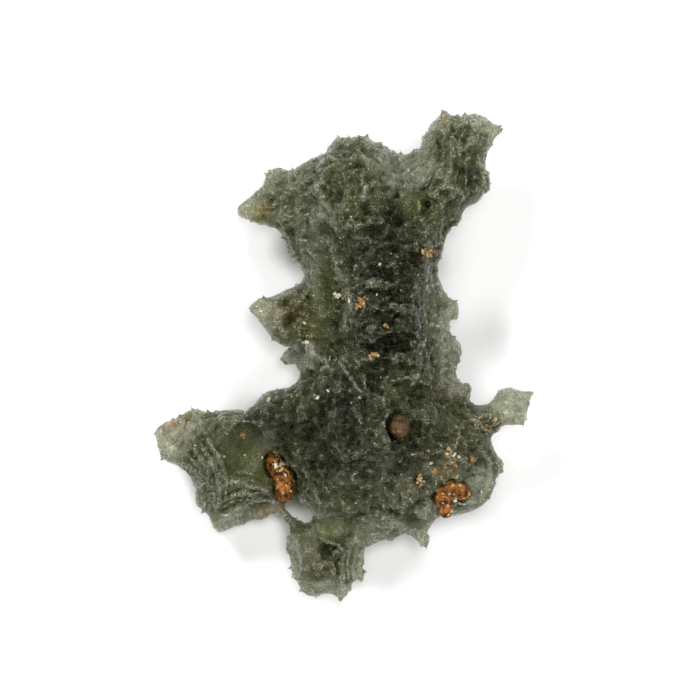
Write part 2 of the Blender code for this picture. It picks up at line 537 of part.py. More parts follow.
def make_clay(lumps, group):
    """One piece of clay: its lumps fused, roughened and faceted."""
    skin = remesh(join([ball_mesh(lump) for lump in lumps]), CLAY_VOXEL, group)
    grains = bpy.data.textures.new("grains", "CLOUDS")
    grains.noise_scale = CLAY_GRAIN
    item = put("blank", skin, group)
    rough = item.modifiers.new("rough", "DISPLACE")
    rough.texture = grains
    rough.texture_coords = "LOCAL"
    rough.strength = CLAY_RELIEF
    rough.mid_level = CLAY_LEVEL
    return thin(bake(item), CLAY_TRIANGLES, group)


def principled(name, colour, roughness, transmission=0.0):
    """A plain material for one sub-part."""
    material = bpy.data.materials.new(name)
    material.use_nodes = True
    shader = material.node_tree.nodes["Principled BSDF"]
    shader.inputs["Base Color"].default_value = colour
    shader.inputs["Roughness"].default_value = roughness
    shader.inputs["Metallic"].default_value = 0.0
    shader.inputs["Transmission Weight"].default_value = transmission
    return material


def finish(name, mesh, material, group):
    """The sub-part's object, in metres and smooth, in its own material."""
    mesh.transform(Matrix.Scale(MM, 4))
    mesh.materials.clear()
    mesh.materials.append(material)
    mesh.shade_smooth()
    mesh.name = name
    return put(name, mesh, group)


def main():
    """Build the stone and its clay."""
    stone_group, cutters = start()
    blanks = [make_mass(mass, stone_group) for mass in MASSES]
    blanks.append(make_strut(stone_group))
    blanks += [ball_mesh(ball) for ball in FEET + LUMPS]
    stone = remesh(join(blanks), STONE_VOXEL, stone_group)
    hollows = HOLLOWS + tuple(ripple_hollows()) + tuple(flute_hollows())
    hollow_mesh = remesh(join([ball_mesh(ball) for ball in hollows]), STONE_VOXEL, cutters)
    stone = cut(stone, hollow_mesh, "hollows", stone_group, cutters)
    stone = remesh(stone, STONE_VOXEL, stone_group)
    stone = etch(stone, LARGE_PIT, LARGE_PIT_DEPTH, stone_group)
    stone = etch(stone, SMALL_PIT, SMALL_PIT_DEPTH, stone_group)
    stone = remesh(stone, STONE_VOXEL, stone_group)

    seated = {name: seat(lumps, sink, stone) for name, (lumps, sink, _) in CLAY.items()}
    for name, lumps in seated.items():
        pocket = pocket_mesh(lumps, cutters)
        stone = cut(stone, pocket, name.replace("clay", "pocket"), stone_group, cutters)
    stone = thin(remesh(stone, STONE_VOXEL, stone_group), GLASS_TRIANGLES, stone_group)
    stone = wear_flat(stone, stone_group, cutters)

    glass = principled("moldavite_glass", GREEN_GLASS, 0.25, transmission=1.0)
    finish("moldavite_glass", stone, glass, stone_group)
    for name, lumps in seated.items():
        finish(name, make_clay(lumps, stone_group), principled(name, CLAY[name][2], 0.85), stone_group)


main()
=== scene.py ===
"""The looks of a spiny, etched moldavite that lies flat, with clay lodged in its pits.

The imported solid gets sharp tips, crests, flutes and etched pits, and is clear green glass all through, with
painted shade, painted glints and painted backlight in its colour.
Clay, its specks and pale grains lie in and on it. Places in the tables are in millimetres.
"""
import json
import logging
import math
import random
from dataclasses import dataclass, replace
from enum import Enum

import bpy
import numpy as np
from bpy.types import Material, Node, NodeSocket, NodeTree, Object, World
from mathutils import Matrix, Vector
from mathutils.bvhtree import BVHTree

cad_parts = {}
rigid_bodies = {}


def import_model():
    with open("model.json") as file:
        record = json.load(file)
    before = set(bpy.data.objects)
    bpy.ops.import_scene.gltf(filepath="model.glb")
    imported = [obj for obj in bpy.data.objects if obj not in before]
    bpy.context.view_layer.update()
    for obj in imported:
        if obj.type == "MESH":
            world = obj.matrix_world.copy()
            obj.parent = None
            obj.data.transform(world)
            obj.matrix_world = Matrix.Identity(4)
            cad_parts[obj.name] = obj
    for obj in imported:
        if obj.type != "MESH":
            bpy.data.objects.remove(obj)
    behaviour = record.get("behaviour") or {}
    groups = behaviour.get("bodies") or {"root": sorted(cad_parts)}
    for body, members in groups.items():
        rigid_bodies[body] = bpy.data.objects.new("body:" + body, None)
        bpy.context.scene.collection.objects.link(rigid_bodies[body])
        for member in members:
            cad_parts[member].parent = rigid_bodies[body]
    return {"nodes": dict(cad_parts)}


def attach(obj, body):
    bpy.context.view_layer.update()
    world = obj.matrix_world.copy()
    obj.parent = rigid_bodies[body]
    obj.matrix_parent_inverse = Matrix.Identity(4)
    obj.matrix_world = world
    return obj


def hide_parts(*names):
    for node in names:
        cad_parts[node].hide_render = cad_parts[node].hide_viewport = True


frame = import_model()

LOG = logging.getLogger("moldavite")
MM = 0.001                       # one millimetre, in metres
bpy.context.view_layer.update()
BODY = "root"
UP = Vector((0.0, 0.0, 1.0))
FAR = 0.1                        # rays start this far above or below the table, in metres


# ---- places and shapes on the stone

def smooth_step(values: np.ndarray) -> np.ndarray:
    """The values eased from 0 to 1."""
    share = np.clip(values, 0.0, 1.0)
    return share * share * (3.0 - 2.0 * share)


def turned(places: np.ndarray, degrees: float, x: float = 0.0, y: float = 0.0) -> tuple:
    """Measure places in plan.

    Args:
        places: points (n, 3) in metres.
        degrees: a heading, from +X.
        x, y: a centre.

    Returns:
        How far along and across the heading each is, in millimetres.
    """
    angle = math.radians(degrees)
    east, north = places[:, 0] / MM - x, places[:, 1] / MM - y
    return (east * math.cos(angle) + north * math.sin(angle),
            north * math.cos(angle) - east * math.sin(angle))


@dataclass(frozen=True)
class Patch:
    """A soft-edged ellipse: centre, half widths, weight in the middle, turn in degrees, lowest height."""

    x: float
    y: float
    rx: float
    ry: float
    share: float = 1.0
    turn: float = 0.0
    low: float = -1.0

    def weight(self, places: np.ndarray) -> np.ndarray:
        """How far places (n, 3) in metres belong to the patch: its share in the middle, 0 outside."""
        along, across = turned(places, self.turn, self.x, self.y)
        inside = smooth_step((1.25 - np.sqrt((along / self.rx) ** 2 + (across / self.ry) ** 2)) / 0.5)
        return inside * (places[:, 2] > self.low * MM) * self.share


@dataclass(frozen=True)
class Flutes:
    """Fine ridges over a patch: their heading in degrees, spacing, depth and how far they bend aside."""

    patch: Patch
    heading: float
    pitch: float
    depth: float
    wander: float = 0.3

    def heights(self, places: np.ndarray) -> np.ndarray:
        """How far each place is raised.

        Args:
            places: points (n, 3) in metres.

        Returns:
            The heights, in metres.
        """
        along, across = turned(places, self.heading)
        bend = self.wander * (np.sin(along * 0.9 + across * 0.35) + 0.5 * np.sin(along * 2.3 + 1.1))
        phase = (across + bend) / self.pitch * math.tau
        ridge = np.abs(np.sin(phase / 2.0)) ** 0.7
        return (0.5 - ridge) * self.depth * MM * self.patch.weight(places)


@dataclass(frozen=True)
class Crest:
    """A ridge (or a furrow) along x, y pairs: height, reach of its sides, lowest skin that takes it."""

    line: tuple
    height: float = 0.22
    width: float = 0.3
    low: float = 1.0

    def weight(self, places: np.ndarray) -> np.ndarray:
        """How far each place belongs to the ridge.

        Args:
            places: points (n, 3) in metres.

        Returns:
            Near 1 on the line, 0 outside.
        """
        flat = places[:, :2] / MM
        nearest = np.full(len(flat), np.inf)
        travel = np.zeros(len(flat))
        gone = 0.0
        stops = np.reshape(self.line, (-1, 2))
        for begin, end in zip(stops, stops[1:]):
            step = end - begin
            share = np.clip((flat - begin) @ step / (step @ step), 0.0, 1.0)
            gap = np.linalg.norm(flat - begin - share[:, None] * step, axis=1)
            closer = gap < nearest
            nearest = np.where(closer, gap, nearest)
            travel = np.where(closer, gone + share * np.linalg.norm(step), travel)
            gone += np.linalg.norm(step)
        beads = 0.75 + 0.25 * np.sin(travel * 9.0 + gone) * np.sin(travel * 4.1)
        ends = smooth_step(np.minimum(travel, gone - travel) / 0.4 + 0.35)
        side = np.clip(1.0 - nearest / self.width, 0.0, 1.0) ** 1.4
        return side * beads * ends * (places[:, 2] > self.low * MM)

    def heights(self, places: np.ndarray) -> np.ndarray:
        """How far each place is raised, in metres."""
        return self.weight(places) * self.height * MM


def fan(first: tuple, last: tuple, count: int, height: float, width: float = 0.2) -> tuple:
    """Crests in even steps from one line of x, y pairs to another."""
    return tuple(Crest(tuple(a + step / (count - 1) * (b - a) for a, b in zip(first, last)), height, width)
                 for step in range(count))


@dataclass(frozen=True)
class Thorn:
    """A sharp tip at the rim: its point, and the middle and radius of its foot inside the stone."""

    x: float
    y: float
    foot_x: float
    foot_y: float
    radius: float = 0.34


@dataclass(frozen=True)
class Lump:
    """An ellipsoid: centre, half widths and turn about +Z in degrees."""

    x: float
    y: float
    z: float
    rx: float
    ry: float
    rz: float
    turn: float = 0.0


# ---- modelling by hand

def deselect() -> None:
    """Leave nothing selected."""
    bpy.ops.object.select_all(action="DESELECT")


def pick(piece: Object) -> None:
    """Select one piece alone and make it active."""
    deselect()
    piece.select_set(True)
    bpy.context.view_layer.objects.active = piece


def settle() -> Object:
    """Put the newest piece's place, turn and scale into its mesh."""
    bpy.ops.object.transform_apply(location=True, rotation=True, scale=True)
    return bpy.context.object


def add_lump(lump: Lump, fineness: int = 3) -> Object:
    """Add an ellipsoid.

    Args:
        lump: its shape and place.
        fineness: its subdivisions.

    Returns:
        The mesh.
    """
    deselect()
    bpy.ops.mesh.primitive_ico_sphere_add(
        subdivisions=fineness, radius=MM, location=(lump.x * MM, lump.y * MM, lump.z * MM),
        rotation=(0.0, 0.0, math.radians(lump.turn)), scale=(lump.rx, lump.ry, lump.rz))
    return settle()


def add_cone(foot: Vector, tip: Vector, radius: float, sides: int) -> Object:
    """Add a cone, in metres.

    Args:
        foot: the middle of its base.
        tip: its point.
        radius: its base's.
        sides: how many.

    Returns:
        The cone.
    """
    way = tip - foot
    deselect()
    bpy.ops.mesh.primitive_cone_add(
        vertices=sides, radius1=radius, radius2=0.0, depth=way.length, location=(foot + tip) / 2.0,
        rotation=way.to_track_quat("Z", "Y").to_euler())
    return settle()


def copy_node(node: str, name: str) -> Object:
    """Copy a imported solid, without its material and doubled points.

    Args:
        node: its name.
        name: the copy's name.

    Returns:
        The copy.
    """
    piece = bpy.data.objects.new(name, frame["nodes"][node].data.copy())
    bpy.context.scene.collection.objects.link(piece)
    pick(piece)
    bpy.ops.object.mode_set(mode="EDIT")
    bpy.ops.mesh.select_all(action="SELECT")
    bpy.ops.mesh.remove_doubles(threshold=0.000001)
    bpy.ops.object.mode_set(mode="OBJECT")
    piece.data.materials.clear()
    return piece


def join(pieces: list[Object], name: str) -> Object:
    """Join meshes in the first.

    Args:
        pieces: the meshes.
        name: the joined one's name.

    Returns:
        The joined mesh.
    """
    pick(pieces[0])
    for piece in pieces:
        piece.select_set(True)
    if len(pieces) > 1:
        bpy.ops.object.join()
    pieces[0].name = pieces[0].data.name = name
    return pieces[0]


def apply_modifier(piece: Object, kind: str, **settings: object) -> None:
    """Add a modifier and apply it.

    Args:
        piece: the mesh.
        kind: the modifier's type.
        settings: its properties.
    """
    pick(piece)
    modifier = piece.modifiers.new(kind.lower(), kind)
    for name, value in settings.items():
        setattr(modifier, name, value)
    bpy.ops.object.modifier_apply(modifier=modifier.name)


def fuse(piece: Object, grain: float) -> None:
    """Rebuild a piece as one closed skin, its faces this large in metres."""
    apply_modifier(piece, "REMESH", mode="VOXEL", voxel_size=grain)


def lighten(piece: Object, triangles: int) -> None:
    """Bring a piece down to this many triangles, fewest where it is smooth."""
    apply_modifier(piece, "TRIANGULATE", quad_method="SHORTEST_DIAGONAL")
    apply_modifier(piece, "DECIMATE", ratio=min(1.0, triangles / len(piece.data.polygons)))


def displace(piece: Object, kind: str, size: float, depth: float, level: float = 0.5,
             group: str = "", **pattern: object) -> None:
    """Push the skin in and out by a pattern.

    Args:
        piece: the mesh.
        kind: the texture's type.
        size, depth: its size and whole depth, in millimetres.
        level: its value that stays in place.
        group: the vertex group that limits it.
        pattern: more of its settings.
    """
    texture = bpy.data.textures.new(kind.lower(), kind)
    texture.noise_scale = size * MM
    for name, value in pattern.items():
        setattr(texture, name, value)
    apply_modifier(piece, "DISPLACE", texture=texture, texture_coords="LOCAL", strength=depth * MM,
                   mid_level=level, vertex_group=group)


def read(piece: Object, field: str = "co") -> np.ndarray:
    """The places (n, 3) of a piece's points, or their normals with the field "normal"."""
    flat = np.empty(len(piece.data.vertices) * 3)
    piece.data.vertices.foreach_get(field, flat)
    return flat.reshape(-1, 3)


def raise_skin(piece: Object, heights: np.ndarray) -> None:
    """Move each point along its normal, by its height in metres."""
    places = read(piece) + read(piece, "normal") * heights[:, None]
    piece.data.vertices.foreach_set("co", places.ravel())
    piece.data.update()


def weigh(piece: Object, name: str, weights: np.ndarray, steps: int = 16) -> None:
    """Give a piece a vertex group.

    Args:
        piece: the mesh.
        name: the group's name.
        weights: one for each point.
        steps: how finely they are told apart.
    """
    group = piece.vertex_groups.new(name=name)
    level = np.rint(np.clip(weights, 0.0, 1.0) * steps).astype(int)
    for step in range(1, steps + 1):
        group.add(np.flatnonzero(level == step).tolist(), step / steps, "REPLACE")


def average(piece: Object, values: np.ndarray, rounds: int) -> np.ndarray:
    """Average values at a mesh's points with their neighbours.

    Args:
        piece: the mesh.
        values: a row for each point.
        rounds: how often.

    Returns:
        The averages.
    """
    count = len(piece.data.vertices)
    edges = np.empty(len(piece.data.edges) * 2, dtype=np.int64)
    piece.data.edges.foreach_get("vertices", edges)
    pairs = edges.reshape(-1, 2).T
    ends, others = np.concatenate(pairs), np.concatenate(pairs[::-1])
    neighbours = np.maximum(np.bincount(ends, minlength=count), 1)
    for _ in range(rounds):
        sums = [np.bincount(ends, weights=column[others], minlength=count) for column in values.T]
        values = np.stack(sums, axis=1) / neighbours[:, None]
    return values


def bulge(piece: Object, rounds: int) -> np.ndarray:
    """How far each point stands out of its surroundings, against what is usual.

    Args:
        piece: the mesh.
        rounds: how wide the surroundings are.

    Returns:
        Above 0 on crests, below 0 in hollows.
    """
    places = read(piece)
    height = ((places - average(piece, places, rounds)) * read(piece, "normal")).sum(axis=1)
    return (height - height.mean()) / height.std()


def surface(piece: Object) -> BVHTree:
    """A piece's faces, ready to be met by rays."""
    bpy.context.view_layer.update()
    return BVHTree.FromObject(piece, bpy.context.evaluated_depsgraph_get())


def plumb(skin: BVHTree, x: float, y: float) -> tuple:
    """Where an upright line at this place, in metres, first meets a skin from above and from below."""
    return skin.ray_cast(Vector((x, y, FAR)), -UP)[0], skin.ray_cast(Vector((x, y, -FAR)), UP)[0]


def thickness(piece: Object) -> np.ndarray:
    """How thick a piece is from top to bottom.

    Args:
        piece: the mesh.

    Returns:
        The thickness at each point in metres, 0 at the very rim.
    """
    skin = surface(piece)
    met = [plumb(skin, x, y) for x, y, _ in read(piece).tolist()]
    return np.array([top.z - bottom.z if top and bottom else 0.0 for top, bottom in met])


def drop_crumbs(piece: Object) -> None:
    """Delete what isn't joined to the highest point.

    Args:
        piece: the mesh.
    """
    pick(piece)
    bpy.ops.object.mode_set(mode="EDIT")
    bpy.ops.mesh.select_all(action="DESELECT")
    bpy.ops.mesh.select_mode(type="VERT")
    bpy.ops.object.mode_set(mode="OBJECT")
    piece.data.vertices[int(read(piece)[:, 2].argmax())].select = True
    bpy.ops.object.mode_set(mode="EDIT")
    bpy.ops.mesh.select_linked()
    bpy.ops.mesh.select_all(action="INVERT")
    bpy.ops.mesh.delete(type="VERT")
    bpy.ops.object.mode_set(mode="OBJECT")


# ---- nodes

class Tree:
    """A node tree that is filled by short calls."""

    def __init__(self, tree: NodeTree) -> None:
        """Take a tree to fill."""
        self.tree = tree

    def feed(self, node: Node, inputs: dict) -> Node:
        """Set or link a node's inputs.

        Args:
            node: the node.
            inputs: values or sockets, by name or number.

        Returns:
            The node.
        """
        for key, value in inputs.items():
            if isinstance(value, NodeSocket):
                self.tree.links.new(value, node.inputs[key])
            else:
                node.inputs[key].default_value = value
        return node

    def add(self, kind: str, inputs: dict | None = None, **settings: object) -> Node:
        """Add a node.

        Args:
            kind: its type, without ShaderNode.
            inputs: what feeds it.
            settings: its properties.

        Returns:
            The node.
        """
        node = self.tree.nodes.new("ShaderNode" + kind)
        for name, value in settings.items():
            setattr(node, name, value)
        return self.feed(node, inputs or {})

    def math(self, operation: str, *values: object, clamp: bool = False) -> NodeSocket:
        """Work out a number, kept from 0 to 1 with clamp."""
        return self.add("Math", dict(enumerate(values)), operation=operation, use_clamp=clamp).outputs[0]

    def noise(self, place: NodeSocket, scale: object, detail: float, roughness: float = 0.5) -> NodeSocket:
        """Noise, with a number or a socket for its scale per metre."""
        return self.add("TexNoise", {"Vector": place, "Scale": scale, "Detail": detail,
                                     "Roughness": roughness}).outputs["Fac"]

    def span(self, value: NodeSocket, low: float, high: float, to_low: float = 0.0,
             to_high: float = 1.0) -> NodeSocket:
        """Map the values from low to high to another span, with eased ends."""
        return self.add("MapRange", {"Value": value, "From Min": low, "From Max": high, "To Min": to_low,
                                     "To Max": to_high}, interpolation_type="SMOOTHSTEP").outputs["Result"]

    def mix(self, share: object, first: object, second: object, blend: str = "MIX") -> NodeSocket:
        """Mix two colours, by the share of the second."""
        return self.add("Mix", {0: share, 6: first, 7: second}, data_type="RGBA", blend_type=blend).outputs[2]

    def ramp(self, value: NodeSocket, *stops: tuple) -> NodeSocket:
        """Turn a value to a colour.

        Args:
            value: the value.
            stops: two pairs of a position and a colour.

        Returns:
            The colour.
        """
        node = self.add("ValToRGB", {"Fac": value})
        for mark, (position, colour) in zip(node.color_ramp.elements, stops):
            mark.position, mark.color = position, colour
        return node.outputs["Color"]


class Finish(Tree):
    """The tree of a new material, and the place that it shades."""

    def __init__(self, name: str) -> None:
        """Make the plain material."""
        self.material = bpy.data.materials.new(name)
        self.material.use_nodes = True
        super().__init__(self.material.node_tree)
        self.place = self.add("TexCoord").outputs["Object"]

    def fill(self, node: str, inputs: dict) -> None:
        """Set or link the inputs of the node with this name."""
        self.feed(self.tree.nodes[node], inputs)


class NodeGroup(Tree):
    """A shader node group with named inputs and outputs, made once."""

    def __init__(self, name: str, vectors: tuple, values: tuple, results: tuple) -> None:
        """Make the empty group.

        Args:
            name: its name.
            vectors, values: its inputs that are vectors and numbers.
            results: its outputs, all numbers.
        """
        super().__init__(bpy.data.node_groups.new(name, "ShaderNodeTree"))
        for labels, way, kind in ((vectors, "INPUT", "Vector"), (values, "INPUT", "Float"),
                                  (results, "OUTPUT", "Float")):
            for label in labels:
                self.tree.interface.new_socket(label, in_out=way, socket_type="NodeSocket" + kind)
        self.given = self.tree.nodes.new("NodeGroupInput").outputs
        self.result = self.tree.nodes.new("NodeGroupOutput")

    def place(self, tree: Tree, **values: object) -> Node:
        """Place the group in a tree, its inputs given with underscores for spaces."""
        node = tree.add("Group", node_tree=self.tree)
        return tree.feed(node, {label.replace("_", " "): value for label, value in values.items()})


def pitting_group() -> NodeGroup:
    """Etched pits with sharp winding crests.

    Returns:
        The group, which gives a height and masks of crests and pits, used to paint glints on the crests and
        shade in the pits.
    """
    tree = NodeGroup("etched_pitting", ("Vector",), ("Pits per Metre", "Fine Share"),
                     ("Height", "Crests", "Pits"))
    given = tree.given
    swirl = tree.add("TexNoise", {"Vector": given["Vector"], "Scale": 900.0, "Detail": 2.0})
    nudge = tree.add("VectorMath", {0: swirl.outputs["Color"], 1: (0.5, 0.5, 0.5)}, operation="SUBTRACT")
    shifted = tree.add("VectorMath", {0: nudge.outputs[0], 1: (0.0004,) * 3, 2: given["Vector"]},
                       operation="MULTIPLY_ADD").outputs[0]
    pits = tree.add("TexVoronoi", {"Vector": shifted, "Scale": given["Pits per Metre"]})
    worms = tree.noise(shifted, given["Pits per Metre"], 2.5, 0.65)
    away = tree.math("ABSOLUTE", tree.math("SUBTRACT", worms, 0.5))
    fine_part = tree.math("MULTIPLY", tree.span(away, 0.12, 0.0), given["Fine Share"])
    tree.feed(tree.result, {"Height": tree.math("ADD", pits.outputs["Distance"], fine_part),
                            "Crests": tree.span(away, 0.06, 0.01), "Pits": tree.span(away, 0.04, 0.13)})
    return tree


def stain_and_shade_group() -> NodeGroup:
    """A stain or a painted shade about one place, broken up by noise.

    Returns:
        The group, which gives a mask.
    """
    tree = NodeGroup("stain_and_painted_shade", ("Vector", "Centre"),
                     ("Reach", "Blotches per Metre", "Brokenness", "Strength"), ("Mask",))
    given = tree.given
    away = tree.add("VectorMath", {0: given["Vector"], 1: given["Centre"]}, operation="DISTANCE")
    soft = tree.span(tree.math("DIVIDE", away.outputs["Value"], given["Reach"]), 1.1, 0.3)
    noise = tree.noise(given["Vector"], given["Blotches per Metre"], 4.0, 0.65)
    gaps = tree.math("MULTIPLY", tree.span(noise, 0.6, 0.36), given["Brokenness"])
    spread = tree.math("MULTIPLY", soft, tree.math("SUBTRACT", 1.0, gaps))
    tree.feed(tree.result, {"Mask": tree.math("MULTIPLY", spread, given["Strength"], clamp=True)})
    return tree


def grain_group() -> NodeGroup:
    """Grains set in clay.

    Returns:
        The group, which gives a random value for each grain, and a height.
    """
    tree = NodeGroup("clay_grain", ("Vector",), ("Grains per Metre",), ("Grain", "Height"))
    given = tree.given
    cells = tree.add("TexVoronoi", {"Vector": given["Vector"], "Scale": given["Grains per Metre"]})
    split = tree.add("SeparateColor", {"Color": cells.outputs["Color"]})
    dome = tree.math("SUBTRACT", 1.0, cells.outputs["Distance"])
    height = tree.math("MULTIPLY_ADD", tree.noise(given["Vector"], 9000.0, 3.0), 0.5, dome)
    tree.feed(tree.result, {"Grain": split.outputs["Red"], "Height": height})
    return tree


class Tinge(Enum):
    """The colours that stain the glass, or paint shade on it, as the share of each colour that they let
    through.
    """

    RUST = (0.86, 0.50, 0.18, 1.0)
    UMBER = (0.52, 0.36, 0.20, 1.0)
    OCHRE = (0.82, 0.66, 0.34, 1.0)
    # a painted shade, not a colour of the glass
    SMOKE = (0.07, 0.08, 0.06, 1.0)
    MOSS = (0.92, 1.0, 0.50, 1.0)


@dataclass(frozen=True)
class TintSpot:
    """A stain in the glass, or a painted shade on it: its centre, its reach, its colour and how much of that
    it takes at most.
    """

    tinge: Tinge
    x: float
    y: float
    z: float
    reach: float
    strength: float = 0.9


# painted shade: darkening over the thick column and centre, in the recesses beside the bulb, above the clay
# and in other dark spots; rows give x, y, z, reach and strength
SHADES = tuple(TintSpot(Tinge.SMOKE, *row) for row in (
    (3.2, 6.2, 9, 4, 0.95), (3, 1.6, 9, 3.9, 0.95), (-0.6, -5.2, 8.5, 4.8), (4.4, -6, 9, 3.9, 0.7),
    (8.3, 11.2, 7.5, 1.9, 0.7), (-4.6, -4.4, 6.5, 2.4, 0.8), (3.3, 9, 9, 0.9), (5.35, 9.6, 8.5, 0.7, 0.5),
    (4.3, 11.4, 8.5, 0.5), (-0.6, -12.7, 5, 1.1), (-8.9, -8, 4, 1.3, 0.6), (-9.3, -4.9, 4, 0.7, 0.8),
    (5.2, -11.6, 4, 1.2, 0.7), (2.9, 12.6, 7, 1, 0.4), (0.7, -2.3, 9, 2.4, 0.8), (2.4, -4.7, 9, 1.2, 0.6),
    (-3.2, -6.2, 6, 0.9, 0.8), (3.5, -9.8, 6, 1.1, 0.4),
))

STAINS = tuple(TintSpot(*row) for row in (
    (Tinge.UMBER, -3.2, 2.8, 6, 1.7), (Tinge.OCHRE, -4.7, 1.9, 5.5, 1.2, 0.6),
    (Tinge.OCHRE, -5.4, 9.4, 4.5, 1.1), (Tinge.UMBER, -2.9, 12.3, 4.5, 0.7, 0.7),
    (Tinge.RUST, -11.1, -5, 3.8, 1, 0.8), (Tinge.OCHRE, -10.2, -4.1, 4, 0.9, 0.8),
    (Tinge.OCHRE, 6.9, -6.9, 8, 1.9), (Tinge.UMBER, 7, -2.5, 7, 1.3, 0.7),
    (Tinge.UMBER, 9.4, -4.3, 6, 1.1, 0.6), (Tinge.RUST, -5.2, -10.2, 2.8, 1.1, 0.55),
    (Tinge.RUST, -4, -9.7, 3, 0.9, 0.6), (Tinge.OCHRE, -1.9, -13.4, 4.8, 1.3, 0.7),
    (Tinge.UMBER, -3.9, -8, 4, 1.5, 0.8), (Tinge.OCHRE, 6.6, 15.3, 6.8, 0.5, 0.6),
    (Tinge.MOSS, 4.4, 10, 8.5, 1.3), (Tinge.MOSS, -5.9, -6.6, 4.5, 2.2, 0.55),
    (Tinge.MOSS, -0.6, -11.3, 4, 1.6, 0.8), (Tinge.MOSS, -1.6, 3.6, 7, 2.6, 0.5),
))


@dataclass(frozen=True)
class EtchedGlass:
    """Clear green glass under an etched skin: hollows, frosted crests with painted glints, painted shade in
    grooves and pits, and thin or listed parts painted pale as if lit through.

    Attributes:
        groove_shade_colour: what grooves and pits keep of their colour under the painted shade.
        tint, density: the colour of thick glass, and how strongly it absorbs per metre.
        clear: how much of the skin isn't frosted through.
        satin, sheen: the roughness of hollows and crests, and of the film on crests.
    """

    name: str = "moldavite_glass"
    hollow: tuple = (0.235, 0.25, 0.095, 1.0)
    # frost, with painted glints on the bump crests
    crest: tuple = (0.95, 0.97, 0.68, 1.0)
    # painted backlight, where thin glass lets the floor shine through
    backlit: tuple = (0.99, 1.0, 0.80, 1.0)
    # painted shade in grooves and pits
    groove_shade_colour: tuple = (0.13, 0.15, 0.11, 1.0)
    tint: tuple = (0.50, 0.525, 0.30, 1.0)
    density: float = 380.0
    ior: float = 1.49
    clear: float = 0.68
    glint: tuple = (0.22, 0.225, 0.16, 1.0)
    satin: tuple = (0.10, 0.35)
    sheen: float = 0.12

    def tinge(self, finish: Finish, stain_and_shade: NodeGroup, spots: tuple, broken: float, colour: object) -> object:
        """Lay stains and painted shades over a colour.

        Args:
            finish: the material.
            stain_and_shade: the group of stains and painted shades.
            spots: the stains or painted shades.
            broken: how far noise breaks them up.
            colour: what they lie on.

        Returns:
            The colour with its stains and painted shades.
        """
        for spot in spots:
            mask = stain_and_shade.place(
                finish, Vector=finish.place, Centre=(spot.x * MM, spot.y * MM, spot.z * MM),
                Reach=spot.reach * MM, Strength=spot.strength, Blotches_per_Metre=900.0, Brokenness=broken)
            colour = finish.mix(mask.outputs["Mask"], colour, spot.tinge.value, "MULTIPLY")
        return colour

    def make(self, pitting: NodeGroup, stain_and_shade: NodeGroup) -> Material:
        """Make the material.

        Args:
            pitting: the group of etched pits.
            stain_and_shade: the group of stains and painted shades.

        Returns:
            The material.
        """
        tree = Finish(self.name)
        place = tree.place
        pits = pitting.place(tree, Vector=place, Pits_per_Metre=4800.0, Fine_Share=0.9).outputs
        frost, whole, groove_shade = (tree.add("Attribute", attribute_name=name).outputs["Fac"]
                              for name in ("frost", "pale", "groove_shade"))
        streaks = tree.span(tree.noise(place, 1900.0, 4.0, 0.7), 0.4, 0.56, 0.5, 1.0)
        # painted backlight where the glass is thin, over the listed patches and along the crests
        pale = tree.math("MULTIPLY", whole, streaks)
        # painted shade over the thick parts and in recesses
        body = self.tinge(tree, stain_and_shade, SHADES, 0.3, self.hollow)
        green = tree.add("SeparateColor", {"Color": body}).outputs["Green"]
        # painted glints: pale specks on the bump crests, most on frosted and pale parts, fewer where painted
        # shade darkens the body
        glint_reach = tree.math("MULTIPLY_ADD", pale, 0.45, tree.math("MULTIPLY_ADD", frost, 0.75, 0.17))
        reach = tree.math("MULTIPLY", glint_reach, tree.span(green, 0.0, self.hollow[1], 0.5, 1.0))
        speckle = tree.math("MULTIPLY", pits["Crests"], reach)
        frost_and_glints = tree.math("MULTIPLY_ADD", frost, 0.13, speckle, clamp=True)
        # painted shade in the pits, and with the grooves' mark in the grooves, less where painted pale
        dark = tree.math("MULTIPLY", pits["Pits"], tree.math("MULTIPLY_ADD", frost, 0.5, 0.45))
        low = tree.math("MULTIPLY_ADD", groove_shade, 0.9, dark, clamp=True)
        shade_share = tree.math("MULTIPLY", low, tree.math("MULTIPLY_ADD", pale, -0.5, 1.0))
        shaded = tree.mix(shade_share, tree.mix(pale, body, self.backlit), self.groove_shade_colour, "MULTIPLY")
        colour = self.tinge(tree, stain_and_shade, STAINS, 1.0, tree.mix(frost_and_glints, shaded, self.crest))
        bump = tree.add("Bump", {"Height": pits["Height"], "Strength": 0.9, "Distance": 0.00015})
        tree.fill("Principled BSDF", {
            "Base Color": colour, "Roughness": tree.span(frost_and_glints, 0.0, 1.0, *self.satin),
            "Normal": bump.outputs["Normal"], "Metallic": 0.0, "IOR": self.ior,
            "Transmission Weight": self.clear, "Specular Tint": self.glint,
            "Coat Weight": frost_and_glints, "Coat Roughness": self.sheen})
        bulk = tree.add("VolumeAbsorption", {"Color": self.tint, "Density": self.density})
        tree.fill("Material Output", {"Volume": bulk.outputs["Volume"]})
        return tree.material


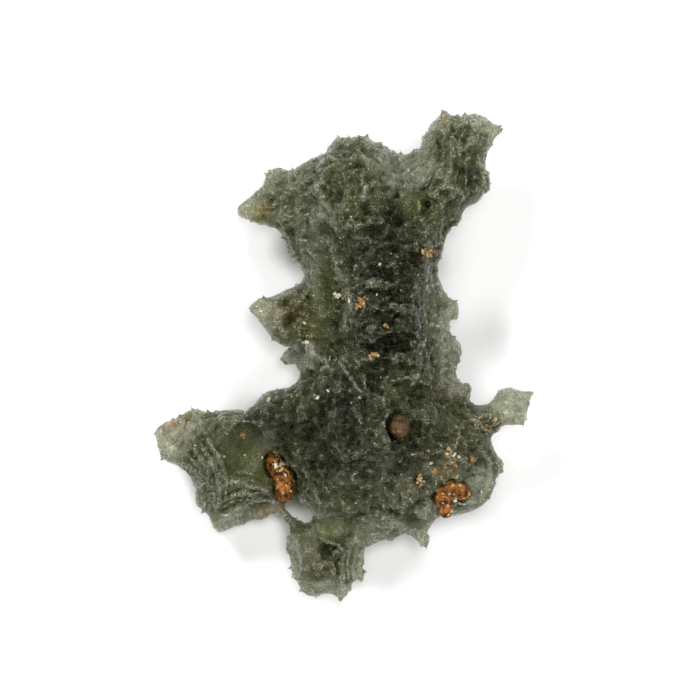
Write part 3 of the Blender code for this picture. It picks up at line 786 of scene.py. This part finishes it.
@dataclass(frozen=True)
class Clay:
    """Clay with grains in it, pale above a share of them: colours from hollows to grains, gloss and shine."""

    name: str
    dark: tuple
    warm: tuple
    pale: tuple
    pale_from: float = 0.8
    gloss: float = 0.5
    shine: float = 0.2

    def make(self, grain: NodeGroup) -> Material:
        """Make the material.

        Args:
            grain: the group of grains.

        Returns:
            The material.
        """
        tree = Finish(self.name)
        grains = grain.place(tree, Vector=tree.place, Grains_per_Metre=5200.0).outputs
        cloud = tree.noise(tree.place, 1700.0, 5.0, 0.7)
        body = tree.ramp(cloud, (0.42, (*self.dark, 1.0)), (0.58, (*self.warm, 1.0)))
        share = tree.span(grains["Grain"], self.pale_from, self.pale_from + 0.08)
        bump = tree.add("Bump", {"Height": grains["Height"], "Strength": 0.8, "Distance": 0.0001})
        tree.fill("Principled BSDF", {
            "Base Color": tree.mix(share, body, (*self.pale, 1.0)), "Normal": bump.outputs["Normal"],
            "Roughness": tree.span(cloud, 0.3, 0.7, self.gloss + 0.2, self.gloss - 0.15),
            "Metallic": 0.0, "Specular IOR Level": self.shine})
        return tree.material


# ---- the stone

RIM_THORNS = tuple(Thorn(*row) for row in (
    (-6.9, 9.62, -6.1, 9.75), (-4.86, 12.18, -4.5, 11.6), (-1.45, 13.15, -1.7, 12.5), (-0.3, 14.2, 0, 13.5),
    (1.06, 14.42, 1, 13.8), (1.7, 14.56, 1.5, 13.8), (6.5, 16.1, 6.6, 15.4), (8, 15.92, 7.9, 15.3),
    (8.66, 15.8, 8.6, 15.2), (9.5, 15.25, 9.3, 14.7), (10.53, 14.75, 9.8, 14.5, 0.45),
    (9.54, 10.66, 8.8, 10.8), (9.3, 12.5, 8.8, 12.5, 0.28), (7.64, 3.05, 7, 2.9, 0.28),
    (7.76, 0.9, 7.2, 0.7, 0.26), (8.16, -1.78, 7.7, -2.1, 0.28), (8.56, -2.06, 7.9, -2.5),
    (10.35, -2.08, 10.4, -2.7, 0.28), (12.56, -2.3, 11.9, -2.8, 0.4), (11.76, -4.48, 11.5, -3.9, 0.3),
    (10.66, -7.64, 10, -7.5), (9.45, -9, 8.9, -8.8, 0.28), (5.5, -12.68, 5.35, -11.8, 0.4),
    (1.46, -13.15, 0.9, -13, 0.26), (1.42, -14.68, 0.9, -14.4, 0.28), (0.7, -15.5, 0.4, -15, 0.26),
    (-0.12, -16.18, -0.1, -15.5, 0.45), (-2.84, -15.46, -2.3, -15, 0.35),
    (-3.42, -14.62, -2.9, -14.2, 0.35), (-3.67, -12.6, -3, -12.6, 0.28), (-8.25, -11.64, -8, -10.9),
    (-9.68, -9.6, -9, -9.5), (-12.45, -5.15, -11.7, -5.1), (-11.88, -6.72, -11.3, -6.4, 0.3),
    (-9.57, -3.48, -9.4, -4.1), (-6.22, 3.08, -5.5, 3.1), (-4.22, -0.25, -3.5, -0.3, 0.4),
    (-4.95, -10.72, -5.3, -10.1, 0.3),
))

SMOOTH_PATCHES = tuple(Patch(*row) for row in (
    (-6.3, -6.6, 1.5, 2, 1, -14, 3), (4.3, 9.8, 0.9, 0.9, 1, 0, 6), (11, -3.2, 1.3, 1, 0.6),
    (-1.3, 3.6, 0.8, 3.2, 0.7, 0, 4), (-0.6, -11.4, 1.1, 0.7, 1, 0, 3), (-2.4, -12.6, 0.9, 0.9, 1, 0, 3),
))

FLUTED_PATCHES = tuple(Patch(*row) for row in (
    (-8.8, -8, 1.3, 2.7, 1, 15, 1), (-6.4, -8.8, 1.6, 1, 1, 0, 1.5), (3.9, 12.9, 1.7, 1.2, 1, 0, 3),
    (0.6, -13.6, 0.8, 1.5, 1, 0, 1), (-2.8, -13.2, 0.6, 1.4, 1, 0, 1), (9.3, -4.3, 1.3, 0.8, 1, 0, 1),
))

# painted backlight: patches painted pale as if the floor shone through thin glass
BACKLIT_PATCHES = tuple(Patch(*row) for row in (
    (4.1, 12.3, 2, 1.6, 1, 0, 3), (5.2, 14.3, 0.7, 1.2, 0.8, 0, 3), (7.3, 0.6, 1.3, 3.3),
    (-11.2, -5.2, 1.4, 1.6), (-9.8, -4.3, 1, 0.8, 0.7), (-6.3, -10.6, 2.2, 0.8, 1, 16),
    (11.2, -3, 1.7, 1.5), (0.9, -13.6, 0.7, 1.9), (-3.2, -13.4, 0.6, 1.7), (-0.8, -15.4, 1.8, 0.7),
    (2.6, -11.3, 1.8, 0.8, 0.8), (-5.1, 2.6, 1.4, 1), (-2.8, 0, 1.4, 0.9), (9.3, 14.9, 1.2, 0.6, 1, -20),
    (6.5, 15.3, 0.6, 0.9, 0.7), (5.4, -12, 0.7, 0.8), (-6.2, 9.6, 1, 0.8), (2.2, 14.2, 0.8, 0.7),
    (-4.2, -9.9, 0.7, 0.9), (-1.6, 8.6, 0.6, 2.4, 0.6), (-2, 5.5, 0.5, 3, 0.45, 12),
    (-8.9, -8.6, 1.2, 2.2, 0.45), (-3.9, 11.6, 2, 0.9, 0.5, 25), (5.6, 3.6, 0.4, 3.5, 0.35),
    (-3.9, 9.9, 2.6, 1.8, 0.25), (-2.2, -12.9, 1.3, 1.3, 0.25), (-5.3, -6.2, 0.6, 1.6, 0.3, -30),
    (4, -8.6, 2, 1.4, 0.15), (6.6, -7.2, 1.5, 1, 0.45), (8.8, -8.5, 0.9, 1.4, 0.95, -30),
    (5.6, -10.1, 0.9, 0.7, 0.9), (-1, -11, 1.7, 0.8, 0.6), (-3.9, -10.2, 0.9, 0.7, 0.7),
    (3.4, 10.4, 0.6, 0.5, 0.5), (-1.1, 8.3, 0.8, 0.9, 0.5), (2.4, -7.1, 1.3, 0.6, 0.3),
    (-6.9, -5.7, 1.2, 1.6, 0.15),
))

FLUTES = tuple(Flutes(*row) for row in (
    (Patch(4.8, 13.4, 1.7, 1.9, 1, -25, 3), 62, 0.5, 0.14),
    (Patch(3.1, 2.6, 2.6, 5, 1, 0, 7), 0, 0.6, 0.07, 0.6),
    (Patch(-1.4, 3.2, 1.3, 4.5, 1, 0, 4), -8, 0.7, 0.1),
    (Patch(7.9, 12.5, 1.6, 2.4, 1, 10, 3), 80, 0.6, 0.12),
    (Patch(-2.8, 10.2, 2.4, 1.8, 1, 35, 3), 40, 0.7, 0.1),
    (Patch(0.7, -13.6, 0.9, 1.8, 1, 0, 1.5), 78, 0.45, 0.12),
    (Patch(6.9, 0.8, 0.9, 3, 1, 0, 1), 10, 0.6, 0.1), (Patch(2.4, -11.2, 1.8, 0.9, 1, 0, 2), -12, 0.4, 0.1),
    (Patch(-3.3, -0.5, 1.2, 1, 1, 0, 2), 60, 0.4, 0.08),
))

CRESTS = tuple(Crest(*row) for row in (
    # the centre peak and the left edge of the column
    ((-0.3, 14.1, -0.8, 13.3, -1.5, 12.3, -1.5, 11.6),),
    ((-1.35, 11.25, -1.8, 10.9, -1.5, 10.4, -1.3, 9.9, -0.8, 9.3, -0.3, 9.2), 0.3, 0.35),
    ((-1.4, 9.15, -1.85, 8.4, -1.4, 7.6, -0.9, 7.4, -0.5, 6.6, -0.35, 6, -0.25, 5.3, 0.1, 4.6, 0.45, 3.8,
     0.45, 3.2, 0.25, 2.4, 0.15, 1.5), 0.5, 0.5),
    ((1.2, 13, 1.8, 12.3, 2.3, 11.8), 0.25, 0.35), ((1.3, 9.9, 1.6, 10.9, 2.2, 11.2, 2.7, 10.8),),
    ((-0.2, -0.3, 0.2, -1, 0.6, -1.6, 1.3, -2.6), 0.25, 0.25),
    # the saddle, the bulb and the horn
    ((6, 15, 5.75, 14, 5.9, 13.2, 5.6, 12, 5.3, 11.6, 4.8, 11.5), 0.28, 0.35),
    ((2.4, 13.4, 3, 12.6, 3.8, 12.2, 4.6, 12.3), 0.15), ((3.6, 10.35, 4.4, 10.65), 0.3, 0.2),
    ((4.85, 10.1, 5, 9.6, 4.9, 9.2), 0.2, 0.2),
    ((7.1, 14.9, 7.6, 14.95, 8.1, 15.2, 8.6, 15.3, 9, 15.05, 9.5, 14.8), 0.35, 0.35),
    ((9.45, 10.8, 9.25, 11.4, 9.1, 12, 8.8, 12.6), 0.3, 0.35),
    ((6.2, 11.6, 6.6, 11.3, 7, 11.9, 7.1, 12.6),), ((6, 10.6, 6.6, 10.9, 7.4, 10.7, 7.9, 10.2),),
    # the left waist, the spike and the lobe below it
    ((-2, 5.6, -2.1, 4.9, -2.4, 4.2, -2.7, 3.6), 0.2), ((-4.3, 3.1, -4.25, 2.2, -4, 1.6, -3.5, 0.9),),
    ((-1.7, -0.2, -1.1, -0.3, -1, -0.7, -1.6, -1.1), 0.2, 0.25),
    # the left foot: its wall's flutes, its bowl's ledges and its flange
    ((-10.4, -6.9, -9.6, -7.5, -9.15, -8.3, -9, -9.1), 0.2, 0.22),
    ((-10, -6.6, -9.2, -7.3, -8.8, -8.2, -8.65, -9.2, -8.6, -10.1), 0.24, 0.22),
    ((-9.7, -6.2, -8.9, -7, -8.5, -8, -8.35, -9.2, -8.2, -10.3), 0.24, 0.22),
    ((-9.2, -5.8, -8.5, -6.8, -8.2, -7.8, -8.05, -9, -8, -10), 0.24, 0.22),
    ((-8.9, -5.4, -8.2, -6.4, -7.8, -7.4, -7.65, -8.3), 0.2, 0.22),
    ((-7.3, -8, -6.9, -7.7, -6.4, -7.6, -5.9, -7.8), 0.2, 0.25),
    ((-7.8, -8.6, -7.2, -8.3, -6.5, -8.25, -6.1, -8.5), 0.24, 0.25),
    ((-6.6, -8.95, -6, -8.55, -5.4, -8.6, -4.9, -8.85), 0.26, 0.25),
    ((-8, -9.6, -7.3, -9.2, -6.5, -9.05, -5.7, -9.1), 0.26, 0.25),
    ((-7.8, -10.9, -7.2, -10.2, -6.5, -9.75, -5.7, -9.5, -4.9, -9.5, -4.4, -9.65), 0.25),
    ((-9.9, -4.3, -10, -4.9, -9.6, -5.6), 0.2),
    # beside the hole, and the bottom foot with its web
    ((-2.6, -9.3, -2, -10, -1.7, -10.7), 0.2, 0.25), ((-1.9, -8.6, -1.5, -9.6, -1.5, -10.4), 0.18, 0.25),
    ((-3.6, -12.2, -3.1, -13.2, -2.8, -14.3, -2.75, -14.9), 0.25),
    ((0.5, -12.4, 0.1, -13.1, 0, -14, -0.1, -15.2), 0.25),
    ((-1.9, -11.7, -1.2, -12, -0.5, -12.35, 0.2, -12.8), 0.25, 0.25),
    ((1, -11, 1.5, -10.6, 2.2, -10.3, 3.2, -10.6, 4, -11.2), 0.25, 0.35),
    # the right side of the base and the arm of the tail
    ((8, -3.8, 8.6, -4.3, 9.4, -4.9, 9.8, -4.9), 0.25, 0.25),
    ((8.9, -3.9, 9.9, -3.9, 10.6, -4.2), 0.2, 0.25), ((10.4, -2.5, 11.1, -2.9, 11.9, -2.7), 0.2, 0.25),
    ((10.3, -3.6, 11, -3.5, 11.6, -4.1), 0.2, 0.25), ((5, -10.4, 5.6, -10, 6.1, -10.4), 0.25),
    ((8.2, -8.2, 8.4, -9, 8, -9.6),), ((9.1, -6.2, 9.6, -6.9, 9.6, -7.7),),
))

FANS = tuple(crest for row in (
    # the left foot's wall and the ledges of its bowl
    ((-10.5, -6.9, -9.7, -7.6, -9.2, -8.5, -9, -9.6, -9.1, -10.4),
     (-8.8, -5.3, -8.1, -6.4, -7.7, -7.5, -7.5, -8.4, -7.6, -9.3), 5, 0.38, 0.18),
    ((-7.5, -8.1, -6.9, -7.7, -6.3, -7.6, -5.7, -7.9),
     (-8, -10, -7.2, -9.5, -6.3, -9.3, -5.2, -9.35), 5, 0.35, 0.18),
    # the bottom foot's two flanges
    ((0, -12.6, -0.1, -13.6, -0.1, -14.8), (1.3, -12.6, 1.2, -13.7, 1.2, -14.7), 4, 0.32, 0.16),
    ((-3.5, -12, -3.2, -13.2, -2.9, -14.4), (-2.5, -11.9, -2.3, -13, -2.2, -14.2), 3, 0.2, 0.16),
    # the saddle, the right shelf and the arm of the tail
    ((1.7, 12.7, 3, 11.7, 4.1, 11.3, 5.4, 12.6, 5.7, 13.9),
     (2.2, 13.9, 3, 13.1, 3.9, 12.8, 5, 13.2, 5.6, 14.5), 4, 0.25, 0.16),
    ((6.4, 3.2, 6.5, 1, 6.5, -1.2), (7.4, 3, 7.3, 1, 7.8, -1.4), 3, 0.22, 0.16),
    ((8, -3.7, 8.8, -4.1, 9.8, -3.8, 10.6, -3.7), (8.2, -5, 9, -5.2, 9.9, -4.9, 10.4, -4.4), 4, 0.22, 0.16),
) for crest in fan(*row))

# faint bands over the ear and across the column
BANDS = tuple(crest for row in (
    ((-1.8, 12.4, -3.2, 11.9, -4.6, 11.2), (-1.6, 9.6, -3.2, 9.6, -5.2, 9.2), 4, 0.1, 0.3),
    ((0.6, 8.2, 2, 8.5, 3.6, 8.4, 5, 8), (0.7, -0.6, 2.2, -0.3, 3.8, -0.4, 5.4, -0.8), 8, 0.12, 0.4),
) for crest in fan(*row))

# where the skin sinks: the hole's walls, so that it stays open, and the dips round the bulb
HOLLOWS = tuple(Crest(*row) for row in (
    ((-3.5, -9.6, -2.7, -10.2, -2, -10.8), -0.34, 1.1, 0),
    ((3.6, 10.1, 3.1, 9.5, 3.2, 8.8, 3.8, 8.4), -0.6, 0.5, 6),
    ((5.4, 10.2, 5.5, 9.5, 5.2, 8.9), -0.25, 0.4, 6), ((4.1, 11.3, 4.6, 11.3), -0.3, 0.35, 5),
    ((-1.1, -12.4, -0.4, -12.8, -0.2, -13.3), -0.5, 0.5, 3), ((-3.3, 6.9, -3, 6, -2.6, 5), -0.3, 0.5, 3),
    ((8.2, 12.2, 8.5, 11.3, 8, 10.6), -0.4, 0.5, 4),
))


def gather(marks: tuple, places: np.ndarray) -> np.ndarray:
    """How far each place belongs to any of these patches or ridges."""
    return np.max([mark.weight(places) for mark in marks], axis=0)


@dataclass
class GlassBody:
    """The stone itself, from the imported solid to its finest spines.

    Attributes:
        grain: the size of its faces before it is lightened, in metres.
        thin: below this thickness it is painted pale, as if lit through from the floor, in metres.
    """

    node: str = "moldavite_glass"
    name: str = "etched_glass"
    grain: float = 0.105 * MM
    triangles: int = 196000
    thin: float = 2.6 * MM
    spines: int = 360
    spine_length: tuple = (0.14, 0.42)
    spine_radius: tuple = (0.13, 0.2)
    seed: int = 11

    def add_thorns(self, skin: BVHTree) -> list[Object]:
        """Add the sharp tips, each at the height of the rim that carries it.

        Args:
            skin: the stone's faces.

        Returns:
            The cones.
        """
        thorns = []
        for thorn in RIM_THORNS:
            top, bottom = plumb(skin, thorn.foot_x * MM, thorn.foot_y * MM)
            foot = (top + bottom) / 2.0
            tip = Vector((thorn.x * MM, thorn.y * MM, foot.z))
            thorns.append(add_cone(foot, tip, thorn.radius * MM, 9))
        return thorns

    def add_spines(self, piece: Object) -> list[Object]:
        """Add fine spines where the skin stands upright at its rims.

        Args:
            piece: the stone.

        Returns:
            The cones.
        """
        chance = random.Random(self.seed)
        places, normals = read(piece), read(piece, "normal")
        rims = np.flatnonzero((np.abs(normals[:, 2]) < 0.35) & (places[:, 2] > 1.2 * MM)).tolist()
        spines = []
        for index in chance.sample(rims, self.spines):
            out, foot = Vector(normals[index]), Vector(places[index])
            length = chance.uniform(*self.spine_length) * MM
            lean = Vector([chance.uniform(-0.4, 0.4) for _ in range(3)])
            tip = foot + (out + lean).normalized() * length
            radius = chance.uniform(*self.spine_radius) * MM
            spines.append(add_cone(foot - out * 0.15 * MM, tip, radius, 6))
        return spines

    def etch(self, piece: Object) -> None:
        """Etch the whole skin, least where it is smooth.

        Args:
            piece: the fused stone.
        """
        places = read(piece)
        off_table = places[:, 2] > 0.15 * MM
        stout = smooth_step(thickness(piece) / self.thin)
        pitted = (1.0 - 0.75 * gather(SMOOTH_PATCHES + FLUTED_PATCHES, places)) * off_table
        weigh(piece, "pitted", pitted * (0.4 + 0.6 * stout))
        weigh(piece, "scooped", pitted * stout * smooth_step(1.15 - np.abs(read(piece, "normal")[:, 2])))
        relief = sum(mark.heights(places) for mark in FLUTES + CRESTS + FANS + BANDS + HOLLOWS)
        displace(piece, "VORONOI", 1.7, 0.8, 0.42, "scooped", distance_metric="DISTANCE_SQUARED")
        raise_skin(piece, relief * off_table)
        for size in (0.95, 0.44):
            displace(piece, "VORONOI", size, 0.22, 0.55, "pitted")
        piece.vertex_groups.clear()

    def frost(self, piece: Object) -> None:
        """Note how frosted each point is, how much painted shade its groove takes and how pale it is painted
        as if lit through.

        Args:
            piece: the etched stone.
        """
        places = read(piece)
        calm = gather(SMOOTH_PATCHES, places)
        crests = np.maximum(bulge(piece, 2) / 2.0, bulge(piece, 9) / 2.4)
        grooves = np.maximum(bulge(piece, 3) / -2.2, bulge(piece, 9) / -1.8)
        depth = average(piece, thickness(piece)[:, None], 3)[:, 0]
        # painted backlight over the listed patches, and a painted highlight along the drawn crests
        painted_pale = np.maximum(gather(BACKLIT_PATCHES, places), 0.85 * gather(CRESTS, places))
        drawn = 0.85 * gather(FANS + CRESTS, places)
        marks = {"frost": np.maximum(smooth_step(crests) * (1.0 - 0.7 * calm), drawn),
                 # painted shade in the grooves
                 "groove_shade": smooth_step(grooves) * (1.0 - calm),
                 "pale": np.maximum(smooth_step(1.0 - depth / self.thin), painted_pale)}
        for name, values in marks.items():
            piece.data.attributes.new(name, "FLOAT", "POINT").data.foreach_set("value", values)

    def build(self) -> Object:
        """Build the stone.

        Returns:
            The stone.
        """
        piece = copy_node(self.node, self.name)
        piece = join([piece] + self.add_thorns(surface(piece)) + self.add_spines(piece), self.name)
        fuse(piece, self.grain)
        drop_crumbs(piece)
        self.etch(piece)
        lighten(piece, self.triangles)
        self.frost(piece)
        return piece


# ---- the clay

@dataclass
class ClayPlug:
    """Clay in its pit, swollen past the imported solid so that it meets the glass.

    Attributes:
        lumps: what stands out of it, with z above the solid's top.
        relief, grain: the depth of its roughness and the size of its faces.
    """

    node: str
    slot: str
    lumps: tuple = ()
    swell: float = 0.16
    relief: float = 0.2
    grain: float = 0.04

    def build(self) -> Object:
        """Build the piece of clay.

        Returns:
            The piece.
        """
        piece = copy_node(self.node, self.node + "_crumb")
        fuse(piece, self.grain * MM)
        raise_skin(piece, np.full(len(piece.data.vertices), self.swell * MM))
        top = read(piece)[:, 2].max() / MM
        shapes = [add_lump(replace(lump, z=top + lump.z)) for lump in self.lumps]
        piece = join([piece] + shapes, piece.name)
        fuse(piece, self.grain * MM)
        displace(piece, "CLOUDS", 0.3, self.relief)
        displace(piece, "VORONOI", 0.2, -0.5 * self.relief, 0.4)
        return piece


@dataclass(frozen=True)
class Speck:
    """A speck on the skin: place in plan, size, how long it is for that, and turn in degrees."""

    x: float
    y: float
    size: float
    long: float = 1.0
    turn: float = 0.0


CLAY_SPECKS = tuple(Speck(*row) for row in (
    (5.6, 6.55, 0.26, 1.5, 20), (5.22, 6.7, 0.2), (1.2, 3.45, 0.26, 1.2, 60), (1, 3.1, 0.14),
    (2.8, 1.85, 0.16), (2, 0, 0.2, 1.6, 10), (-6.5, -5.25, 0.18, 1.4, 70), (5.05, -8, 0.24, 1.2, 80),
    (8.4, -6.75, 0.25), (6.8, -6.4, 0.11, 1.5, 30), (7.1, -7, 0.13, 1.6, -20), (5.95, -7.5, 0.13, 1.7, 50),
    (6.4, -7.9, 0.09), (8.55, -7.6, 0.09), (4.4, -8.4, 0.1), (4.5, -6.4, 0.08), (9.85, -4.15, 0.14),
    (-5.2, 9.3, 0.12), (6.55, 15.3, 0.1),
))

PALE_SPECKS = tuple(Speck(*row) for row in (
    (-4.35, -7.15, 0.11, 2.2, 80), (-3.98, -7.08, 0.2, 1.4, 40), (-3.9, -7.4, 0.08, 1.5, -30),
    (-3.72, -7.78, 0.07, 2.5, -50), (-3.45, -8.3, 0.06, 3.2, -75), (-3.36, -8.85, 0.05, 2.4, -80),
    (-4.2, -8.1, 0.07), (7.6, -8.45, 0.09, 1.6), (6.9, -9, 0.08, 1.5), (7.15, -8.4, 0.08),
    (7.25, -9.35, 0.12, 1.5, -50), (6.5, -9.6, 0.07), (-0.35, 3.85, 0.15, 1.4), (0.45, 3.55, 0.1, 2.2, 80),
    (2.4, 5.85, 0.09), (-2.35, 0.85, 0.13, 1.5, 30), (-6.35, -6.5, 0.07), (-7.7, -6.6, 0.09),
    (-5.2, -6.65, 0.08), (2.65, -9.8, 0.07), (3.8, -7.7, 0.07), (-1.3, -0.35, 0.06), (2.3, -0.05, 0.1),
))


@dataclass
class Specks:
    """Specks in the skin of the stone, joined as one piece.

    Attributes:
        cluster, scattered: the patches that carry more by chance, and how many.
        whole, grains: the size below which one stays whole, and how many grains a millimetre gives.
    """

    name: str
    placed: tuple
    cluster: tuple
    scattered: int
    seed: int
    slot: str = "orange_clay"
    whole: float = 0.11
    grains: float = 55.0

    def crumble(self) -> list[Speck]:
        """Break the larger placed specks up.

        Returns:
            Their grains, and the small specks as they are.
        """
        chance = random.Random(self.seed)
        grains = []
        for speck in self.placed:
            if speck.size < self.whole:
                grains.append(speck)
                continue
            turn = math.radians(speck.turn)
            for _ in range(int(speck.size * speck.long * self.grains)):
                along = chance.gauss(0.0, 0.45) * speck.size * speck.long
                across = chance.gauss(0.0, 0.45) * speck.size
                grains.append(Speck(speck.x + along * math.cos(turn) - across * math.sin(turn),
                                    speck.y + along * math.sin(turn) + across * math.cos(turn),
                                    chance.uniform(0.05, 0.11), chance.uniform(1.0, 1.7),
                                    chance.uniform(0.0, 180.0)))
        return grains

    def strew(self) -> list[Speck]:
        """Strew more specks over the clusters.

        Returns:
            The specks.
        """
        chance = random.Random(self.seed)
        specks = []
        for _ in range(self.scattered):
            patch = chance.choice(self.cluster)
            angle = chance.uniform(0.0, math.tau)
            reach = math.sqrt(chance.random())
            specks.append(Speck(patch.x + patch.rx * reach * math.cos(angle),
                                patch.y + patch.ry * reach * math.sin(angle),
                                0.03 + 0.08 * chance.random() ** 2, chance.uniform(1.0, 2.2),
                                chance.uniform(0.0, 180.0)))
        return specks

    def build(self, skins: list[BVHTree]) -> Object:
        """Build the specks.

        Args:
            skins: the stone's and the clay's faces, as specks lie on the highest.

        Returns:
            The joined specks.
        """
        pieces = []
        for grain in self.crumble() + self.strew():
            hits = [plumb(skin, grain.x * MM, grain.y * MM)[0] for skin in skins]
            grounds = [hit.z for hit in hits if hit is not None]
            if grounds:
                lump = Lump(grain.x, grain.y, max(grounds) / MM, grain.size * grain.long, grain.size,
                            grain.size * 0.6, grain.turn)
                pieces.append(add_lump(lump, 2 if grain.size > 0.07 else 1))
        piece = join(pieces, self.name)
        displace(piece, "CLOUDS", 0.12, 0.1)
        return piece


# ---- floor, lights and camera

@dataclass(frozen=True)
class Lamp:
    """A soft square light that faces the stone: place in metres, power in watts, side in metres."""

    name: str
    place: tuple
    power: float
    side: float = 0.14

    def hang(self) -> None:
        """Hang the light."""
        light = bpy.data.lights.new(self.name, "AREA")
        light.shape = "SQUARE"
        light.size = self.side
        light.energy = self.power
        holder = bpy.data.objects.new(self.name, light)
        holder.location = self.place
        holder.rotation_euler = (-Vector(self.place)).to_track_quat("-Z", "Y").to_euler()
        bpy.context.scene.collection.objects.link(holder)


@dataclass
class Studio:
    """A pale floor, soft light and a camera that looks straight down, in metres.

    Attributes:
        span, centre: how wide the camera sees and where, in millimetres.
    """

    span: float = 45.5
    centre: tuple = (0.49, 0.33)
    distance: float = 0.42
    floor_size: float = 1.6
    middle_height: float = 5.0 * MM
    lamps: tuple = (Lamp("key", (-0.28, 0.36, 0.46), 2.05), Lamp("side", (0.42, 0.16, 0.42), 1.3),
                    Lamp("front", (0.12, -0.42, 0.42), 1.3), Lamp("left", (-0.44, -0.10, 0.40), 1.3),
                    Lamp("back", (0.16, 0.46, 0.38), 1.1), Lamp("top", (0.05, 0.06, 0.62), 1.3))
    walls: float = 0.15
    ceiling: float = 0.03

    def floor(self) -> None:
        """Make the pale floor just under the stone."""
        deselect()
        bpy.ops.mesh.primitive_plane_add(size=self.floor_size, location=(0.0, 0.0, -0.00002))
        floor = bpy.context.object
        floor.name = "floor"
        finish = Finish("pale_floor")
        cloud = finish.noise(finish.place, 4.0, 2.0)
        colour = finish.ramp(cloud, (0.3, (0.93, 0.93, 0.925, 1.0)), (0.7, (0.95, 0.95, 0.95, 1.0)))
        finish.fill("Principled BSDF", {"Base Color": colour, "Roughness": 0.7})
        floor.data.materials.append(finish.material)

    def room(self) -> World:
        """Make the room: bright walls under a dark ceiling.

        Returns:
            The world.
        """
        world = bpy.data.worlds.new("studio")
        world.use_nodes = True
        tree = Tree(world.node_tree)
        height = tree.add("SeparateXYZ", {0: tree.add("TexCoord").outputs["Generated"]}).outputs["Z"]
        strength = tree.span(height, 0.35, 0.8, self.walls, self.ceiling)
        tree.feed(world.node_tree.nodes["Background"], {"Strength": strength})
        return world

    def build(self) -> None:
        """Set up the floor, the lights, the room and the camera."""
        self.floor()
        for lamp in self.lamps:
            lamp.hang()
        scene = bpy.context.scene
        scene.world = self.room()
        scene.view_settings.view_transform = "Standard"
        camera = bpy.data.objects.new("camera", bpy.data.cameras.new("camera"))
        camera.data.sensor_width = 36.0
        reach = self.distance - self.middle_height
        camera.data.lens = camera.data.sensor_width * reach / (self.span * MM)
        camera.data.clip_start = 0.01
        camera.location = (self.centre[0] * MM, self.centre[1] * MM, self.distance)
        scene.collection.objects.link(camera)
        scene.camera = camera


# ---- all of it

GROOVE_LUMPS = (
    Lump(-4.72, -6.8, -0.35, 0.24, 0.3, 0.3), Lump(-4.3, -6.72, -0.3, 0.26, 0.2, 0.3),
    Lump(-3.62, -8.0, -0.3, 0.16, 0.34, 0.32, 24.0), Lump(-3.42, -8.6, -0.3, 0.15, 0.36, 0.3, 12.0),
    Lump(-3.98, -8.4, -0.3, 0.34, 0.5, 0.34, 10.0), Lump(-3.65, -9.2, -0.3, 0.38, 0.34, 0.32),
)
PIT_LUMPS = (
    Lump(6.5, -8.75, -0.25, 0.34, 0.3, 0.24), Lump(7.15, -8.5, -0.2, 0.34, 0.26, 0.24),
    Lump(7.7, -8.7, -0.25, 0.28, 0.28, 0.24), Lump(6.45, -9.4, -0.3, 0.3, 0.34, 0.26),
    Lump(6.7, -9.95, -0.35, 0.26, 0.34, 0.26),
)
CLUSTERS = (
    Patch(6.9, -7.0, 1.5, 1.0), Patch(7.0, -7.4, 1.0, 0.7), Patch(9.3, -4.4, 0.9, 0.5),
    Patch(-11.0, -5.0, 0.8, 0.8),
)
ALL_OVER = Patch(1.5, -2.0, 8.0, 11.0)


def dress(piece: Object, finish: Material, node: str = "") -> None:
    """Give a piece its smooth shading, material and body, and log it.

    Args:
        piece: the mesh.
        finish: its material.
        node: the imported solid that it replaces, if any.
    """
    pick(piece)
    bpy.ops.object.shade_smooth()
    piece.data.materials.append(finish)
    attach(piece, BODY)
    if node:
        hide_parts(node)
    LOG.info("%s: %d faces", piece.name, len(piece.data.polygons))


def main() -> None:
    """Build the stone, its clay, its specks and the studio, in order."""
    logging.basicConfig(level=logging.INFO, format="%(name)s: %(message)s")
    Studio().build()
    grain = grain_group()
    glass = GlassBody()
    stone = glass.build()
    dress(stone, EtchedGlass().make(pitting_group(), stain_and_shade_group()), glass.node)

    orange = Clay("orange_clay", (0.045, 0.015, 0.004), (0.36, 0.14, 0.028), (0.72, 0.44, 0.17), 0.9)
    red = Clay("red_clay", (0.035, 0.018, 0.008), (0.10, 0.055, 0.022), (0.24, 0.15, 0.07), 0.93, 0.3)
    tan = Clay("tan_specks", (0.20, 0.11, 0.04), (0.40, 0.25, 0.10), (0.56, 0.41, 0.21), 0.8, 0.75)
    cream = Clay("cream_specks", (0.40, 0.34, 0.20), (0.62, 0.54, 0.34), (0.80, 0.74, 0.56), 0.7, 0.7)
    finishes = {"orange_clay": orange.make(grain), "red_clay": red.make(grain)}
    skins = [surface(stone)]
    for plug in (ClayPlug("clay_left_groove", "orange_clay", GROOVE_LUMPS),
                 ClayPlug("clay_right_pit", "orange_clay", PIT_LUMPS),
                 ClayPlug("clay_centre_pit", "red_clay", swell=0.09, relief=0.03)):
        piece = plug.build()
        dress(piece, finishes[plug.slot], plug.node)
        skins.append(surface(piece))

    tan_specks = Specks("clay_specks", CLAY_SPECKS, CLUSTERS, 30, 5)
    cream_grains = Specks("cream_grains", PALE_SPECKS, CLUSTERS[:1] + (ALL_OVER,) * 4, 40, 8)
    for specks, finish in ((tan_specks, tan), (cream_grains, cream)):
        dress(specks.build(skins), finish.make(grain))


if __name__ == "__main__":
    main()
